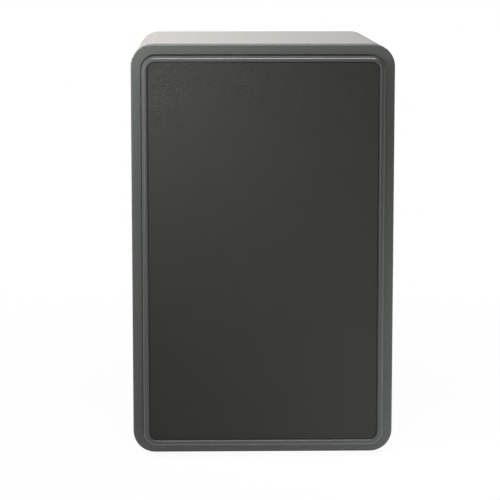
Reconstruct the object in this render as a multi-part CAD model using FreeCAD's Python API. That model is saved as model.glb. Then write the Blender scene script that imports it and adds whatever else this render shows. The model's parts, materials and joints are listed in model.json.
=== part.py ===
"""A two-way bookshelf loudspeaker: cabinet, pull-off grille, woofer, tweeter, port, terminals and crossover.

Millimetres. +Z is up and the grille faces -Y. The origin is on the resting surface, under the middle of the
whole width and depth. Driver profiles are given as (radius, depth), with depth counted back along +Y from the
face that the driver is let into.
"""

import FreeCAD
import Part

import math
import os

V = FreeCAD.Vector

# ---------------------------------------------------------------- cabinet sizes
CABINET_WIDTH = 213.0
CABINET_HEIGHT = 335.0
CABINET_DEPTH = 262.0
CORNER_RADIUS = 18.0
WALL = 15.0
BAFFLE_THICKNESS = 20.0
BAFFLE_EDGE = 1.2
BACK_THICKNESS = 15.0
GLUE_LINE = 0.15

BRACE_THICKNESS = 12.0
BRACE_BELOW_JOINT = 12.0
BRACE_FROM_BAFFLE = 42.0
BRACE_FRONT_STRIP = 33.0
BRACE_BACK_STRIP = 37.0
BRACE_SIDE_STRIP = 20.0
BRACE_WEB = 22.0
BRACE_WINDOW_CORNER = 9.0

FOOT_HEIGHT = 2.5
FOOT_RADIUS = 7.0
FOOT_TAPER = 0.8
FOOT_SETBACK = 26.0
FOOT_STUB_RADIUS = 1.45
FOOT_STUB_LENGTH = 5.5

WOOL_THICKNESS = 20.0
WOOL_GAP = 0.3
WOOL_FROM_BAFFLE = 46.0
WOOL_FROM_BACK = 8.0
WOOL_ABOVE_FLOOR = 34.0
WOOL_ROUNDING = 5.0
WOOL_SPACE = 2.0

# ---------------------------------------------------------------- grille sizes
RAIL = 7.8
GRILLE_GAP = 1.2
GRILLE_RECESS = 3.0
GRILLE_CORNER_RADIUS = 11.0
GRILLE_PROUD = 16.0
BEAD_WIDTH = 4.5
BEAD_ROUNDING = 2.9
BEAD_INNER_ROUNDING = 1.2
CLOTH_THICKNESS = 0.6
CLOTH_SUNK = 1.25
LEDGE_WIDTH = 3.0
LEDGE_THICKNESS = 3.0
CROSSBAR_WIDTH = 8.0
BOSS_RADIUS = 6.0
PEG_RADIUS = 3.0
PEG_LENGTH = 10.0
PEG_HELD_LENGTH = 8.0
PEG_TIP_ROUNDING = 1.4
PEG_CLEARANCE = 0.08
PEG_TIP_SPACE = 0.5
SOCKET_RADIUS = 6.5
SOCKET_BOTTOM = 2.0

# ---------------------------------------------------------------- woofer sizes
WOOFER_RADIUS = 83.0
WOOFER_CUTOUT = 73.5
FLANGE_THICKNESS = 4.0
REBATE_CLEARANCE = 0.3
DRIVER_SPACING = 10.0
SCREW_SEAT = 1.8
SCREW_CLEARANCE = 0.25
PILOT_CLEARANCE = 0.05
PILOT_COVER = 1.0
SCREW_TIP_SPACE = 0.5

WOOFER_SCREWS = 6
WOOFER_SCREW_CIRCLE = 78.5
WOOFER_FIRST_SCREW_DEG = 30.0
WOOFER_SCREW_SHANK = 2.1
WOOFER_SCREW_HEAD = 3.5
WOOFER_SCREW_HEAD_HEIGHT = 2.6

BASKET_WALL = 2.5
BASKET_DEPTH = 58.0
BASKET_WINDOWS = 6
WINDOW_DEG = 40.0
WINDOW_START = 18.0
WINDOW_RIM = 3.0
SEAT_RADIUS = 46.5
COIL_RADIUS = 16.0
FORMER_WALL = 0.4
WINDING_WALL = 1.0
WINDING_LENGTH = 13.0
COIL_AIR = 0.8
POLE_AIR = 0.5
CONE_TRAVEL = 4.0
CONE_WALL = 0.8
CONE_EDGE = 56.0
CONE_NECK_DEPTH = 25.0
CAP_RADIUS = 21.5
CAP_RISE = 8.0
ROLL_RADIUS = 5.6
RUBBER = 0.8
LIP_DEPTH = 1.6
LIP_WIDTH = 4.0
SPIDER_FROM_BACK = 11.0
SPIDER_CLOTH = 0.6
SPIDER_WAVE = 2.4
SPIDER_WAVES = 9
SPIDER_LAND = 4.0
PLATE_THICKNESS = 6.0
MAGNET_RADIUS = 45.0
MAGNET_THICKNESS = 16.0
MAGNET_STEP = 1.0
VENT_RADIUS = 4.0

# ---------------------------------------------------------------- tweeter sizes
TWEETER_RADIUS = 52.0
TWEETER_CUTOUT = 37.0
TWEETER_SCREWS = 4
TWEETER_SCREW_CIRCLE = 46.0
TWEETER_FIRST_SCREW_DEG = 45.0
TWEETER_SCREW_SHANK = 1.7
TWEETER_SCREW_HEAD = 3.2
TWEETER_SCREW_HEAD_HEIGHT = 2.2
FACEPLATE_DEPTH = 7.0
FLARE_START = 38.0
DOME_RADIUS = 12.7
DOME_RISE = 4.6
DOME_WALL = 0.3
DOME_DEPTH = 4.4
DOME_ROLL = 4.0
TWEETER_PLATE = 3.0
TWEETER_MAGNET_RADIUS = 32.0
TWEETER_MAGNET_THICKNESS = 8.0
TWEETER_COIL_WALL = 0.3
TWEETER_COIL_AIR = 0.5
TWEETER_VENT_RADIUS = 3.0
CHAMBER_RADIUS = 26.0
CHAMBER_LENGTH = 16.0
CHAMBER_WALL = 2.0

# ---------------------------------------------------------------- rear fittings
FITTING_PROUD = 2.5
REAR_SCREW_SHANK = 1.5
REAR_SCREW_HEAD = 2.8
REAR_SCREW_HEAD_HEIGHT = 1.6
REAR_SCREW_REACH = 10.0
PORT_RADIUS = 24.0
PORT_WALL = 2.0
PORT_LENGTH = 112.0
PORT_SPIGOT = 26.0
PORT_FLARE_RADIUS = 43.0
PORT_FLARE_DEPTH = 9.0
PORT_NECK_RADIUS = 31.0
PORT_NECK_LENGTH = 13.0
PORT_SCREW_INSET = 3.5
PORT_FROM_TOP = 80.0
CUP_WIDTH = 86.0
CUP_HEIGHT = 66.0
CUP_CORNER = 6.0
CUP_RIM = 9.0
CUP_WALL = 2.5
CUP_POCKET = 23.0
CUP_FROM_BOTTOM = 92.0
POST_SPACING = 19.05
STUD_RADIUS = 2.98
STUD_LENGTH = 17.5
STUD_BEHIND = 9.0
STUD_HOLE_CLEARANCE = 0.02
BANANA_RADIUS = 2.0
BANANA_DEPTH = 11.0
WIRE_HOLE_RADIUS = 1.3
WIRE_HOLE_OFFSET = 1.9
KNOB_RADIUS = 7.0
KNOB_LENGTH = 11.5
KNOB_CLEARANCE = 0.08
KNOB_GRIPS = 12
GRIP_RADIUS = 1.2
COLLAR_THICKNESS = 3.0
WASHER_THICKNESS = 1.2
WASHER_RADIUS = 6.2
NUT_RADIUS = 5.8
NUT_THICKNESS = 3.0
INSERT_SPACING = 60.0
INSERT_RADIUS = 4.6
INSERT_BORE = 2.5
INSERT_LENGTH = 12.0

# ---------------------------------------------------------------- crossover and leads
BOARD_WIDTH = 130.0
BOARD_DEPTH = 84.0
BOARD_THICKNESS = 1.6
BOARD_FRONT = -6.0
BOARD_HOLE_INSET = 7.0
STANDOFF_HEIGHT = 6.0
STANDOFF_RADIUS = 3.5
BOARD_SCREW_SHANK = 1.5
BOARD_SCREW_HEAD = 2.8
BOARD_SCREW_LENGTH = 7.2
TAG_THICKNESS = 0.8
LEAD_RADIUS = 1.4
WOOFER_LEAD_INSET = 21.5
TWEETER_LEAD_INSET = 12.5

# ---------------------------------------------------------------- derived places
OVERALL_DEPTH = GRILLE_PROUD + CABINET_DEPTH + FITTING_PROUD + REAR_SCREW_HEAD_HEIGHT
GRILLE_FRONT = -OVERALL_DEPTH / 2
BAFFLE_FACE = GRILLE_FRONT + GRILLE_PROUD
RECESS_FLOOR = BAFFLE_FACE + GRILLE_RECESS
BAFFLE_BACK = BAFFLE_FACE + BAFFLE_THICKNESS
BACK_FACE = BAFFLE_FACE + CABINET_DEPTH
BACK_INNER = BACK_FACE - BACK_THICKNESS
FITTING_FACE = BACK_FACE + FITTING_PROUD
BOTTOM = FOOT_HEIGHT
TOP = BOTTOM + CABINET_HEIGHT
MIDDLE = BOTTOM + CABINET_HEIGHT / 2
FLOOR_INSIDE = BOTTOM + WALL
CEILING_INSIDE = TOP - WALL
SIDE_INSIDE = CABINET_WIDTH / 2 - WALL
INNER_CORNER = max(CORNER_RADIUS - WALL, 1.0)
RECESS_WIDTH = CABINET_WIDTH - 2 * RAIL
RECESS_HEIGHT = CABINET_HEIGHT - 2 * RAIL
GRILLE_WIDTH = RECESS_WIDTH - 2 * GRILLE_GAP
GRILLE_HEIGHT = RECESS_HEIGHT - 2 * GRILLE_GAP
CLOTH_WIDTH = GRILLE_WIDTH - 2 * BEAD_WIDTH
CLOTH_HEIGHT = GRILLE_HEIGHT - 2 * BEAD_WIDTH
CLOTH_CORNER = GRILLE_CORNER_RADIUS - BEAD_WIDTH
CLOTH_FRONT = GRILLE_FRONT + CLOTH_SUNK
CLOTH_BACK = CLOTH_FRONT + CLOTH_THICKNESS
LEDGE_BACK = CLOTH_BACK + LEDGE_THICKNESS
SOCKET_FLOOR = RECESS_FLOOR + PEG_LENGTH + PEG_TIP_SPACE
DRIVERS_HEIGHT = 2 * WOOFER_RADIUS + DRIVER_SPACING + 2 * TWEETER_RADIUS
WOOFER_Z = MIDDLE - DRIVERS_HEIGHT / 2 + WOOFER_RADIUS
TWEETER_Z = MIDDLE + DRIVERS_HEIGHT / 2 - TWEETER_RADIUS
BETWEEN_DRIVERS_Z = WOOFER_Z + WOOFER_RADIUS + DRIVER_SPACING / 2
BRACE_Z = BETWEEN_DRIVERS_Z - BRACE_BELOW_JOINT
BRACE_UNDER = BRACE_Z - BRACE_THICKNESS / 2
BRACE_OVER = BRACE_Z + BRACE_THICKNESS / 2
BRACE_FRONT = BAFFLE_BACK + BRACE_FROM_BAFFLE
PORT_Z = TOP - PORT_FROM_TOP
CUP_Z = BOTTOM + CUP_FROM_BOTTOM
CUP_FLOOR = FITTING_FACE - CUP_POCKET
CUP_BEHIND = CUP_FLOOR - CUP_WALL
POCKET_WIDTH = CUP_WIDTH - 2 * CUP_RIM
POCKET_HEIGHT = CUP_HEIGHT - 2 * CUP_RIM
INSERT_Z = (PORT_Z - PORT_FLARE_RADIUS + CUP_Z + CUP_HEIGHT / 2) / 2
BOARD_BACK = BOARD_FRONT + BOARD_DEPTH
BOARD_TOP = FLOOR_INSIDE + STANDOFF_HEIGHT + BOARD_THICKNESS

FORMER_OUTSIDE = COIL_RADIUS + FORMER_WALL
ROLL_OUTSIDE = CONE_EDGE + 2 * ROLL_RADIUS
SPIDER_DEPTH = BASKET_DEPTH - SPIDER_FROM_BACK
SPIDER_SEAT = SEAT_RADIUS - BASKET_WALL
CONE_DEPTH = LIP_DEPTH + 0.1
TOP_PLATE_BACK = BASKET_DEPTH + PLATE_THICKNESS
MAGNET_BACK = TOP_PLATE_BACK + MAGNET_THICKNESS
TWEETER_PLATE_BACK = FACEPLATE_DEPTH + TWEETER_PLATE
TWEETER_MAGNET_BACK = TWEETER_PLATE_BACK + TWEETER_MAGNET_THICKNESS
TWEETER_BACK = TWEETER_MAGNET_BACK + TWEETER_PLATE

CUT = 1.0  # how far a cutter runs past the face that it opens

parts = {}


# ---------------------------------------------------------------- shape helpers
def disc(radius, y0, y1, x=0.0, z=0.0):
    """A cylinder along Y from y0 to y1."""
    return Part.makeCylinder(radius, y1 - y0, V(x, y0, z), V(0, 1, 0))


def ring(outer, inner, y0, y1, x=0.0, z=0.0):
    """A tube along Y."""
    return disc(outer, y0, y1, x, z).cut(disc(inner, y0 - CUT, y1 + CUT, x, z))


def block(x0, x1, y0, y1, z0, z1):
    """A box given by its lower and upper limits."""
    return Part.makeBox(x1 - x0, y1 - y0, z1 - z0, V(x0, y0, z0))


def slab(width, height, radius, y0, y1, zc):
    """A rounded rectangle in the XZ plane, centred on x = 0 and zc, from y0 to y1."""
    w, h, r = width / 2, height / 2, radius
    bend = r * (1 - math.sqrt(0.5))
    corners = []
    for sx, sz in ((1, 1), (1, -1), (-1, -1), (-1, 1)):
        start = V(sx * (w - r), y0, zc + sz * h)
        middle = V(sx * (w - bend), y0, zc + sz * (h - bend))
        end = V(sx * w, y0, zc + sz * (h - r))
        corners.append((start, middle, end) if sx == sz else (end, middle, start))
    edges = []
    for k, (start, middle, end) in enumerate(corners):
        edges.append(Part.Arc(start, middle, end).toShape())
        edges.append(Part.makeLine(end, corners[(k + 1) % 4][0]))
    return Part.Face(Part.Wire(edges)).extrude(V(0, y1 - y0, 0))


def turned(profile, angle=360.0):
    """A solid turned about the Y axis from (radius, depth) points. A point (radius, depth, mid_radius,
    mid_depth) is the end of an arc through that middle point."""
    points = [V(p[0], p[1], 0) for p in profile]
    edges = []
    for k, p in enumerate(profile):
        if len(p) == 4:
            edges.append(Part.Arc(points[k - 1], V(p[2], p[3], 0), points[k]).toShape())
        else:
            edges.append(Part.makeLine(points[k - 1], points[k]))
    face = Part.Face(Part.Wire(Part.__sortEdges__(edges)))
    return face.revolve(V(0, 0, 0), V(0, 1, 0), angle)


def cap_profile(radius, rise, wall, edge):
    """The profile of a spherical shell: its rim lies at the depth edge, and its crown is nearer by rise."""
    big = (radius**2 + rise**2) / (2 * rise)
    centre = edge - rise + big
    inner_rim = math.sqrt((big - wall) ** 2 - (centre - edge) ** 2)
    half, inner_half = radius / 2, inner_rim / 2
    return [
        (0, centre - big),
        (radius, edge, half, centre - math.sqrt(big**2 - half**2)),
        (inner_rim, edge),
        (0, centre - big + wall, inner_half, centre - math.sqrt((big - wall) ** 2 - inner_half**2)),
    ]


def depth_on_arc(radius, start, middle, end):
    """How deep the arc through three (radius, depth) points lies at a radius."""
    arc = Part.Arc(V(*start, 0), V(*middle, 0), V(*end, 0)).toShape()
    far = 2 * BASKET_DEPTH
    line = Part.makeLine(V(radius, -far, 0), V(radius, far, 0))
    return line.distToShape(arc)[1][0][0].y


def round_edges_at(shape, y, radius, half_width=math.inf, half_height=math.inf):
    """Rounds the edges that lie in the plane y, no further from the front's middle than the halves given."""
    chosen = [
        e for e in shape.Edges
        if all(
            abs(v.Point.y - y) < 1e-6
            and abs(v.Point.x) < half_width
            and abs(v.Point.z - MIDDLE) < half_height
            for v in e.Vertexes
        )
    ]
    return shape.makeFillet(radius, chosen)


def around(count, radius, first_deg=0.0):
    """Points spread evenly on a circle in the XZ plane."""
    for k in range(count):
        a = math.radians(first_deg + 360.0 * k / count)
        yield radius * math.cos(a), radius * math.sin(a)


def hexagon(radius, y0, y1, x, z):
    """A hexagonal prism along Y."""
    corners = [V(x + dx, y0, z + dz) for dx, dz in around(6, radius)]
    return Part.Face(Part.makePolygon(corners + corners[:1])).extrude(V(0, y1 - y0, 0))


def joined(*shapes):
    """One solid out of shapes that touch or overlap."""
    return shapes[0].multiFuse(list(shapes[1:])).removeSplitter()


def without(shape, cutters):
    """The shape with every cutter taken out."""
    for cutter in cutters:
        shape = shape.cut(cutter)
    return shape


def group(shapes):
    """Separate solids that share one node."""
    return Part.makeCompound(list(shapes))


def placed(shape, y, z):
    """The shape moved back to depth y and up to height z."""
    shape.translate(V(0, y, z))
    return shape


# ---------------------------------------------------------------- cabinet
def foot_places():
    x = CABINET_WIDTH / 2 - CORNER_RADIUS - FOOT_RADIUS
    front, back = BAFFLE_FACE + FOOT_SETBACK, BACK_FACE - FOOT_SETBACK
    return [(-x, front), (x, front), (-x, back), (x, back)]


def cabinet_shell():
    outside = slab(CABINET_WIDTH, CABINET_HEIGHT, CORNER_RADIUS, BAFFLE_BACK, BACK_FACE, MIDDLE)
    inside = slab(
        2 * SIDE_INSIDE, CABINET_HEIGHT - 2 * WALL, INNER_CORNER, BAFFLE_BACK - CUT, BACK_FACE + CUT, MIDDLE
    )
    holes = [
        Part.makeCylinder(FOOT_STUB_RADIUS + PILOT_CLEARANCE, FOOT_STUB_LENGTH + 2, V(x, y, BOTTOM))
        for x, y in foot_places()
    ]
    parts["cabinet_shell"] = without(outside, [inside] + holes)


def back_panel():
    panel = slab(
        2 * (SIDE_INSIDE - GLUE_LINE), CABINET_HEIGHT - 2 * (WALL + GLUE_LINE),
        INNER_CORNER, BACK_INNER, BACK_FACE, MIDDLE,
    )
    front, behind = BACK_INNER - CUT, BACK_FACE + CUT
    room = 2 * (CUP_WALL + GLUE_LINE)
    cuts = [
        disc(PORT_NECK_RADIUS + GLUE_LINE, front, behind, 0, PORT_Z),
        slab(POCKET_WIDTH + room, POCKET_HEIGHT + room, CUP_CORNER + CUP_WALL, front, behind, CUP_Z),
    ]
    for x in insert_places():
        cuts.append(disc(INSERT_RADIUS, BACK_FACE - INSERT_LENGTH, behind, x, INSERT_Z))
    for x, z in cup_screw_places() + port_screw_places():
        hole_end = BACK_FACE - REAR_SCREW_REACH - SCREW_TIP_SPACE
        cuts.append(disc(REAR_SCREW_SHANK + PILOT_CLEARANCE, hole_end, behind, x, z))
    parts["back_panel"] = without(panel, cuts)


def window_brace():
    """A shelf between the drivers, tied to both sides and the back, with two windows for the air."""
    half = SIDE_INSIDE - GLUE_LINE
    shelf = block(-half, half, BRACE_FRONT, BACK_INNER - GLUE_LINE, BRACE_UNDER, BRACE_OVER)
    windows = []
    for side in (-1, 1):
        x0, x1 = sorted((side * BRACE_WEB / 2, side * (SIDE_INSIDE - BRACE_SIDE_STRIP)))
        window = block(
            x0, x1, BRACE_FRONT + BRACE_FRONT_STRIP, BACK_INNER - BRACE_BACK_STRIP,
            BRACE_UNDER - CUT, BRACE_OVER + CUT,
        )
        upright = [e for e in window.Edges if abs(e.Vertexes[0].Point.z - e.Vertexes[1].Point.z) > CUT]
        windows.append(window.makeFillet(BRACE_WINDOW_CORNER, upright))
    parts["window_brace"] = without(shelf, windows)


def rubber_feet():
    """Soft round bumpers, each with a stub in the cabinet's floor."""
    solids = []
    for x, y in foot_places():
        pad = Part.makeCone(FOOT_RADIUS - FOOT_TAPER, FOOT_RADIUS, FOOT_HEIGHT, V(x, y, 0))
        stub = Part.makeCylinder(FOOT_STUB_RADIUS, FOOT_STUB_LENGTH, V(x, y, FOOT_HEIGHT))
        solids.append(joined(pad, stub))
    parts["rubber_feet"] = group(solids)


def front_baffle():
    board = slab(CABINET_WIDTH, CABINET_HEIGHT, CORNER_RADIUS, BAFFLE_FACE, BAFFLE_BACK, MIDDLE)
    board = round_edges_at(board, BAFFLE_FACE, BAFFLE_EDGE)
    recess_corner = GRILLE_CORNER_RADIUS + GRILLE_GAP
    cuts = [
        slab(RECESS_WIDTH, RECESS_HEIGHT, recess_corner, BAFFLE_FACE - CUT, RECESS_FLOOR, MIDDLE),
    ]
    rebate_floor = RECESS_FLOOR + FLANGE_THICKNESS
    drivers = ((WOOFER_RADIUS, WOOFER_CUTOUT, WOOFER_Z), (TWEETER_RADIUS, TWEETER_CUTOUT, TWEETER_Z))
    for radius, hole, z in drivers:
        cuts.append(disc(radius + REBATE_CLEARANCE, RECESS_FLOOR - CUT, rebate_floor, 0, z))
        cuts.append(disc(hole, RECESS_FLOOR - CUT, BAFFLE_BACK + CUT, 0, z))
    pilot_end = BAFFLE_BACK - PILOT_COVER
    for x, z in woofer_screw_places():
        cuts.append(disc(WOOFER_SCREW_SHANK + PILOT_CLEARANCE, RECESS_FLOOR, pilot_end, x, WOOFER_Z + z))
    for x, z in tweeter_screw_places():
        cuts.append(disc(TWEETER_SCREW_SHANK + PILOT_CLEARANCE, RECESS_FLOOR, pilot_end, x, TWEETER_Z + z))
    for x, z in peg_places():
        cuts.append(disc(SOCKET_RADIUS, RECESS_FLOOR - CUT, SOCKET_FLOOR + SOCKET_BOTTOM, x, z))
    parts["front_baffle"] = without(board, cuts)


def damping_wool():
    """Batting pads inside the two sides and the top, behind the drivers and clear of the port."""
    y0, y1 = BAFFLE_BACK + WOOL_FROM_BAFFLE, BACK_INNER - WOOL_FROM_BACK
    pads = []
    for side in (-1, 1):
        x0, x1 = sorted((side * (SIDE_INSIDE - WOOL_GAP), side * (SIDE_INSIDE - WOOL_THICKNESS)))
        pads.append(block(x0, x1, y0, y1, FLOOR_INSIDE + WOOL_ABOVE_FLOOR, BRACE_UNDER - WOOL_SPACE))
        over = CEILING_INSIDE - WOOL_THICKNESS - 2 * WOOL_SPACE
        pads.append(block(x0, x1, y0, y1, BRACE_OVER + WOOL_SPACE, over))
    half = SIDE_INSIDE - WOOL_SPACE
    pads.append(block(-half, half, y0, y1, CEILING_INSIDE - WOOL_THICKNESS, CEILING_INSIDE - WOOL_GAP))
    parts["damping_wool"] = group(p.makeFillet(WOOL_ROUNDING, p.Edges) for p in pads)


# ---------------------------------------------------------------- grille
def peg_places():
    x = GRILLE_WIDTH / 2 - BEAD_WIDTH - BOSS_RADIUS
    z = GRILLE_HEIGHT / 2 - BEAD_WIDTH - BOSS_RADIUS
    return [(sx * x, MIDDLE + sz * z) for sx in (-1, 1) for sz in (-1, 1)]


def grille_frame():
    """An open frame with a rounded front bead, a ledge that backs the cloth, a crossbar and corner bosses."""
    wall = slab(GRILLE_WIDTH, GRILLE_HEIGHT, GRILLE_CORNER_RADIUS, GRILLE_FRONT, RECESS_FLOOR, MIDDLE)
    wall = round_edges_at(wall, GRILLE_FRONT, BEAD_ROUNDING)
    wall = wall.cut(slab(
        CLOTH_WIDTH, CLOTH_HEIGHT, CLOTH_CORNER, GRILLE_FRONT - CUT, RECESS_FLOOR + CUT, MIDDLE
    ))
    half_width, half_height = CLOTH_WIDTH / 2 + GLUE_LINE, CLOTH_HEIGHT / 2 + GLUE_LINE
    wall = round_edges_at(wall, GRILLE_FRONT, BEAD_INNER_ROUNDING, half_width, half_height)
    ledge = slab(CLOTH_WIDTH, CLOTH_HEIGHT, CLOTH_CORNER, CLOTH_BACK, LEDGE_BACK, MIDDLE).cut(slab(
        CLOTH_WIDTH - 2 * LEDGE_WIDTH, CLOTH_HEIGHT - 2 * LEDGE_WIDTH, CLOTH_CORNER - LEDGE_WIDTH / 2,
        CLOTH_BACK - CUT, LEDGE_BACK + CUT, MIDDLE,
    ))
    half, rise = CLOTH_WIDTH / 2, CROSSBAR_WIDTH / 2
    bar = block(-half, half, CLOTH_BACK, LEDGE_BACK, BETWEEN_DRIVERS_Z - rise, BETWEEN_DRIVERS_Z + rise)
    pieces = [wall, ledge, bar]
    web = BOSS_RADIUS + CUT
    for x, z in peg_places():
        pieces.append(disc(BOSS_RADIUS, CLOTH_BACK, RECESS_FLOOR, x, z))
        x0, x1 = sorted((x, x + math.copysign(web, x)))
        z0, z1 = sorted((z, z + math.copysign(web, z - MIDDLE)))
        pieces.append(block(x0, x1, CLOTH_BACK, LEDGE_BACK, z0, z1))
    hole_start = RECESS_FLOOR - PEG_HELD_LENGTH
    holes = [disc(PEG_RADIUS, hole_start, RECESS_FLOOR + CUT, x, z) for x, z in peg_places()]
    parts["grille_frame"] = without(joined(*pieces), holes)


def grille_cloth():
    parts["grille_cloth"] = slab(
        CLOTH_WIDTH - 2 * GLUE_LINE, CLOTH_HEIGHT - 2 * GLUE_LINE, CLOTH_CORNER - GLUE_LINE,
        CLOTH_FRONT, CLOTH_BACK, MIDDLE,
    )


def pegs_and_sockets():
    tip = RECESS_FLOOR + PEG_LENGTH
    pegs, sockets = [], []
    for x, z in peg_places():
        peg = disc(PEG_RADIUS, RECESS_FLOOR - PEG_HELD_LENGTH, tip, x, z)
        pegs.append(round_edges_at(peg, tip, PEG_TIP_ROUNDING))
        body = disc(SOCKET_RADIUS, RECESS_FLOOR, SOCKET_FLOOR + SOCKET_BOTTOM, x, z)
        sockets.append(body.cut(disc(PEG_RADIUS + PEG_CLEARANCE, RECESS_FLOOR - CUT, SOCKET_FLOOR, x, z)))
    parts["grille_pegs"] = group(pegs)
    parts["peg_sockets"] = group(sockets)


# ---------------------------------------------------------------- screws of the drivers
def woofer_screw_places():
    return list(around(WOOFER_SCREWS, WOOFER_SCREW_CIRCLE, WOOFER_FIRST_SCREW_DEG))


def tweeter_screw_places():
    return list(around(TWEETER_SCREWS, TWEETER_SCREW_CIRCLE, TWEETER_FIRST_SCREW_DEG))


def driver_screw(x, z, shank, head, height):
    """A pan-head screw with a hexagon socket, its head sunk into a driver's flange."""
    seat = RECESS_FLOOR + SCREW_SEAT
    front = seat - height
    cap = round_edges_at(disc(head, front, seat, x, z), front, height / 3)
    stem = disc(shank, seat, BAFFLE_BACK - PILOT_COVER - SCREW_TIP_SPACE, x, z)
    socket = hexagon(head / 2, front - CUT, front + height * 0.6, x, z)
    return joined(cap, stem).cut(socket)


def screw_holes(places, shank, head):
    """Cutters for a flange's screw holes, in the driver's own frame."""
    for x, z in places:
        yield disc(shank + SCREW_CLEARANCE, -CUT, FLANGE_THICKNESS + CUT, x, z)
        yield disc(head + SCREW_CLEARANCE, -CUT, SCREW_SEAT, x, z)


def driver_screws():
    parts["woofer_screws"] = group(
        driver_screw(x, WOOFER_Z + z, WOOFER_SCREW_SHANK, WOOFER_SCREW_HEAD, WOOFER_SCREW_HEAD_HEIGHT)
        for x, z in woofer_screw_places()
    )
    parts["tweeter_screws"] = group(
        driver_screw(x, TWEETER_Z + z, TWEETER_SCREW_SHANK, TWEETER_SCREW_HEAD, TWEETER_SCREW_HEAD_HEIGHT)
        for x, z in tweeter_screw_places()
    )


# ---------------------------------------------------------------- woofer
def woofer(name, shape):
    parts[name] = placed(shape, RECESS_FLOOR, WOOFER_Z)


def woofer_basket():
    wall = BASKET_WALL
    side = WOOFER_CUTOUT - 1.0
    throat = COIL_RADIUS + 4.0
    flange_back = FLANGE_THICKNESS + 1.0
    knee = 12.0
    body = turned([
        (WOOFER_RADIUS, 0), (WOOFER_RADIUS, FLANGE_THICKNESS), (side, FLANGE_THICKNESS), (side, knee),
        (SEAT_RADIUS, BASKET_DEPTH - wall), (SEAT_RADIUS, BASKET_DEPTH), (throat, BASKET_DEPTH),
        (throat, BASKET_DEPTH - wall), (SPIDER_SEAT, BASKET_DEPTH - wall), (SPIDER_SEAT, SPIDER_DEPTH),
        (SPIDER_SEAT + SPIDER_LAND + 0.5, SPIDER_DEPTH), (side - wall, knee), (side - wall, flange_back),
        (ROLL_OUTSIDE, flange_back), (ROLL_OUTSIDE, LIP_DEPTH), (WOOFER_CUTOUT + 1, LIP_DEPTH),
        (WOOFER_CUTOUT + 1, 0),
    ])
    ear = block(-10, 10, BASKET_DEPTH - wall, BASKET_DEPTH, SPIDER_SEAT - 4, woofer_tag_top())
    window_end = SPIDER_DEPTH - WINDOW_RIM
    window = turned(
        [(SPIDER_SEAT - 4, WINDOW_START), (WOOFER_RADIUS, WINDOW_START), (WOOFER_RADIUS, window_end),
         (SPIDER_SEAT - 4, window_end)],
        angle=WINDOW_DEG,
    )
    cuts = list(screw_holes(woofer_screw_places(), WOOFER_SCREW_SHANK, WOOFER_SCREW_HEAD))
    for k in range(BASKET_WINDOWS):
        cutter = window.copy()
        cutter.rotate(V(0, 0, 0), V(0, 1, 0), 360.0 * k / BASKET_WINDOWS - WINDOW_DEG / 2)
        cuts.append(cutter)
    woofer("woofer_basket", without(joined(body, ear), cuts))


def woofer_tag_top():
    return SEAT_RADIUS + 11.0


def woofer_surround_and_gasket():
    """A half-roll of rubber between two flat lips, and the ring that clamps its outer lip."""
    front = LIP_DEPTH - RUBBER
    middle = CONE_EDGE + ROLL_RADIUS
    rim = WOOFER_CUTOUT + 0.7
    woofer("woofer_surround", turned([
        (rim, LIP_DEPTH), (rim, front), (ROLL_OUTSIDE, front),
        (CONE_EDGE, front, middle, front - ROLL_RADIUS),
        (CONE_EDGE - LIP_WIDTH, front), (CONE_EDGE - LIP_WIDTH, LIP_DEPTH), (CONE_EDGE + RUBBER, LIP_DEPTH),
        (ROLL_OUTSIDE - RUBBER, LIP_DEPTH, middle, LIP_DEPTH - ROLL_RADIUS + RUBBER),
    ]))
    crest = -1.0
    woofer("woofer_gasket", turned([
        (rim + 0.1, front), (ROLL_OUTSIDE + 0.6, front), (ROLL_OUTSIDE + 0.6, crest + 0.6),
        (ROLL_OUTSIDE + 1.4, crest), (rim - 0.9, crest), (rim + 0.1, crest + 0.8),
    ]))


def woofer_cone_and_cap():
    """A curved cone with a flat landing for the surround, and the dust cap glued to its front."""
    foot = (FORMER_OUTSIDE + PILOT_CLEARANCE, CONE_NECK_DEPTH)
    belly = (34.0, 15.0)
    brow = (CONE_EDGE - LIP_WIDTH - 0.6, CONE_DEPTH)
    edge = CONE_EDGE - 0.5
    woofer("woofer_cone", turned([
        (edge, CONE_DEPTH), (edge, CONE_DEPTH + CONE_WALL),
        (CONE_EDGE - LIP_WIDTH - 1, CONE_DEPTH + CONE_WALL),
        (foot[0], foot[1] + CONE_WALL, belly[0], belly[1] + CONE_WALL), foot, brow + belly,
    ]))
    seat = depth_on_arc(CAP_RADIUS, brow, belly, foot)
    woofer("woofer_dust_cap", turned(cap_profile(CAP_RADIUS, CAP_RISE, CONE_WALL, seat)))


def woofer_coil():
    former_end = TOP_PLATE_BACK + CONE_TRAVEL
    woofer("woofer_coil_former", ring(FORMER_OUTSIDE, COIL_RADIUS, CONE_NECK_DEPTH - 1, former_end))
    middle = BASKET_DEPTH + PLATE_THICKNESS / 2
    half = WINDING_LENGTH / 2
    outside = FORMER_OUTSIDE + WINDING_WALL
    woofer("woofer_winding", ring(outside, FORMER_OUTSIDE, middle - half, middle + half))


def woofer_spider():
    """A corrugated disc between the former and the ledge inside the basket."""
    base = SPIDER_DEPTH - SPIDER_CLOTH
    front = [(FORMER_OUTSIDE + 0.1, base)]
    for k in range(1, SPIDER_WAVES):
        radius = FORMER_OUTSIDE + k * (SPIDER_SEAT - FORMER_OUTSIDE) / SPIDER_WAVES
        front.append((radius, base - (SPIDER_WAVE if k % 2 else 0.0)))
    front += [(SPIDER_SEAT, base), (SPIDER_SEAT + SPIDER_LAND, base)]
    back = [(radius, depth + SPIDER_CLOTH) for radius, depth in reversed(front)]
    woofer("woofer_spider", turned(front + back))


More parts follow.
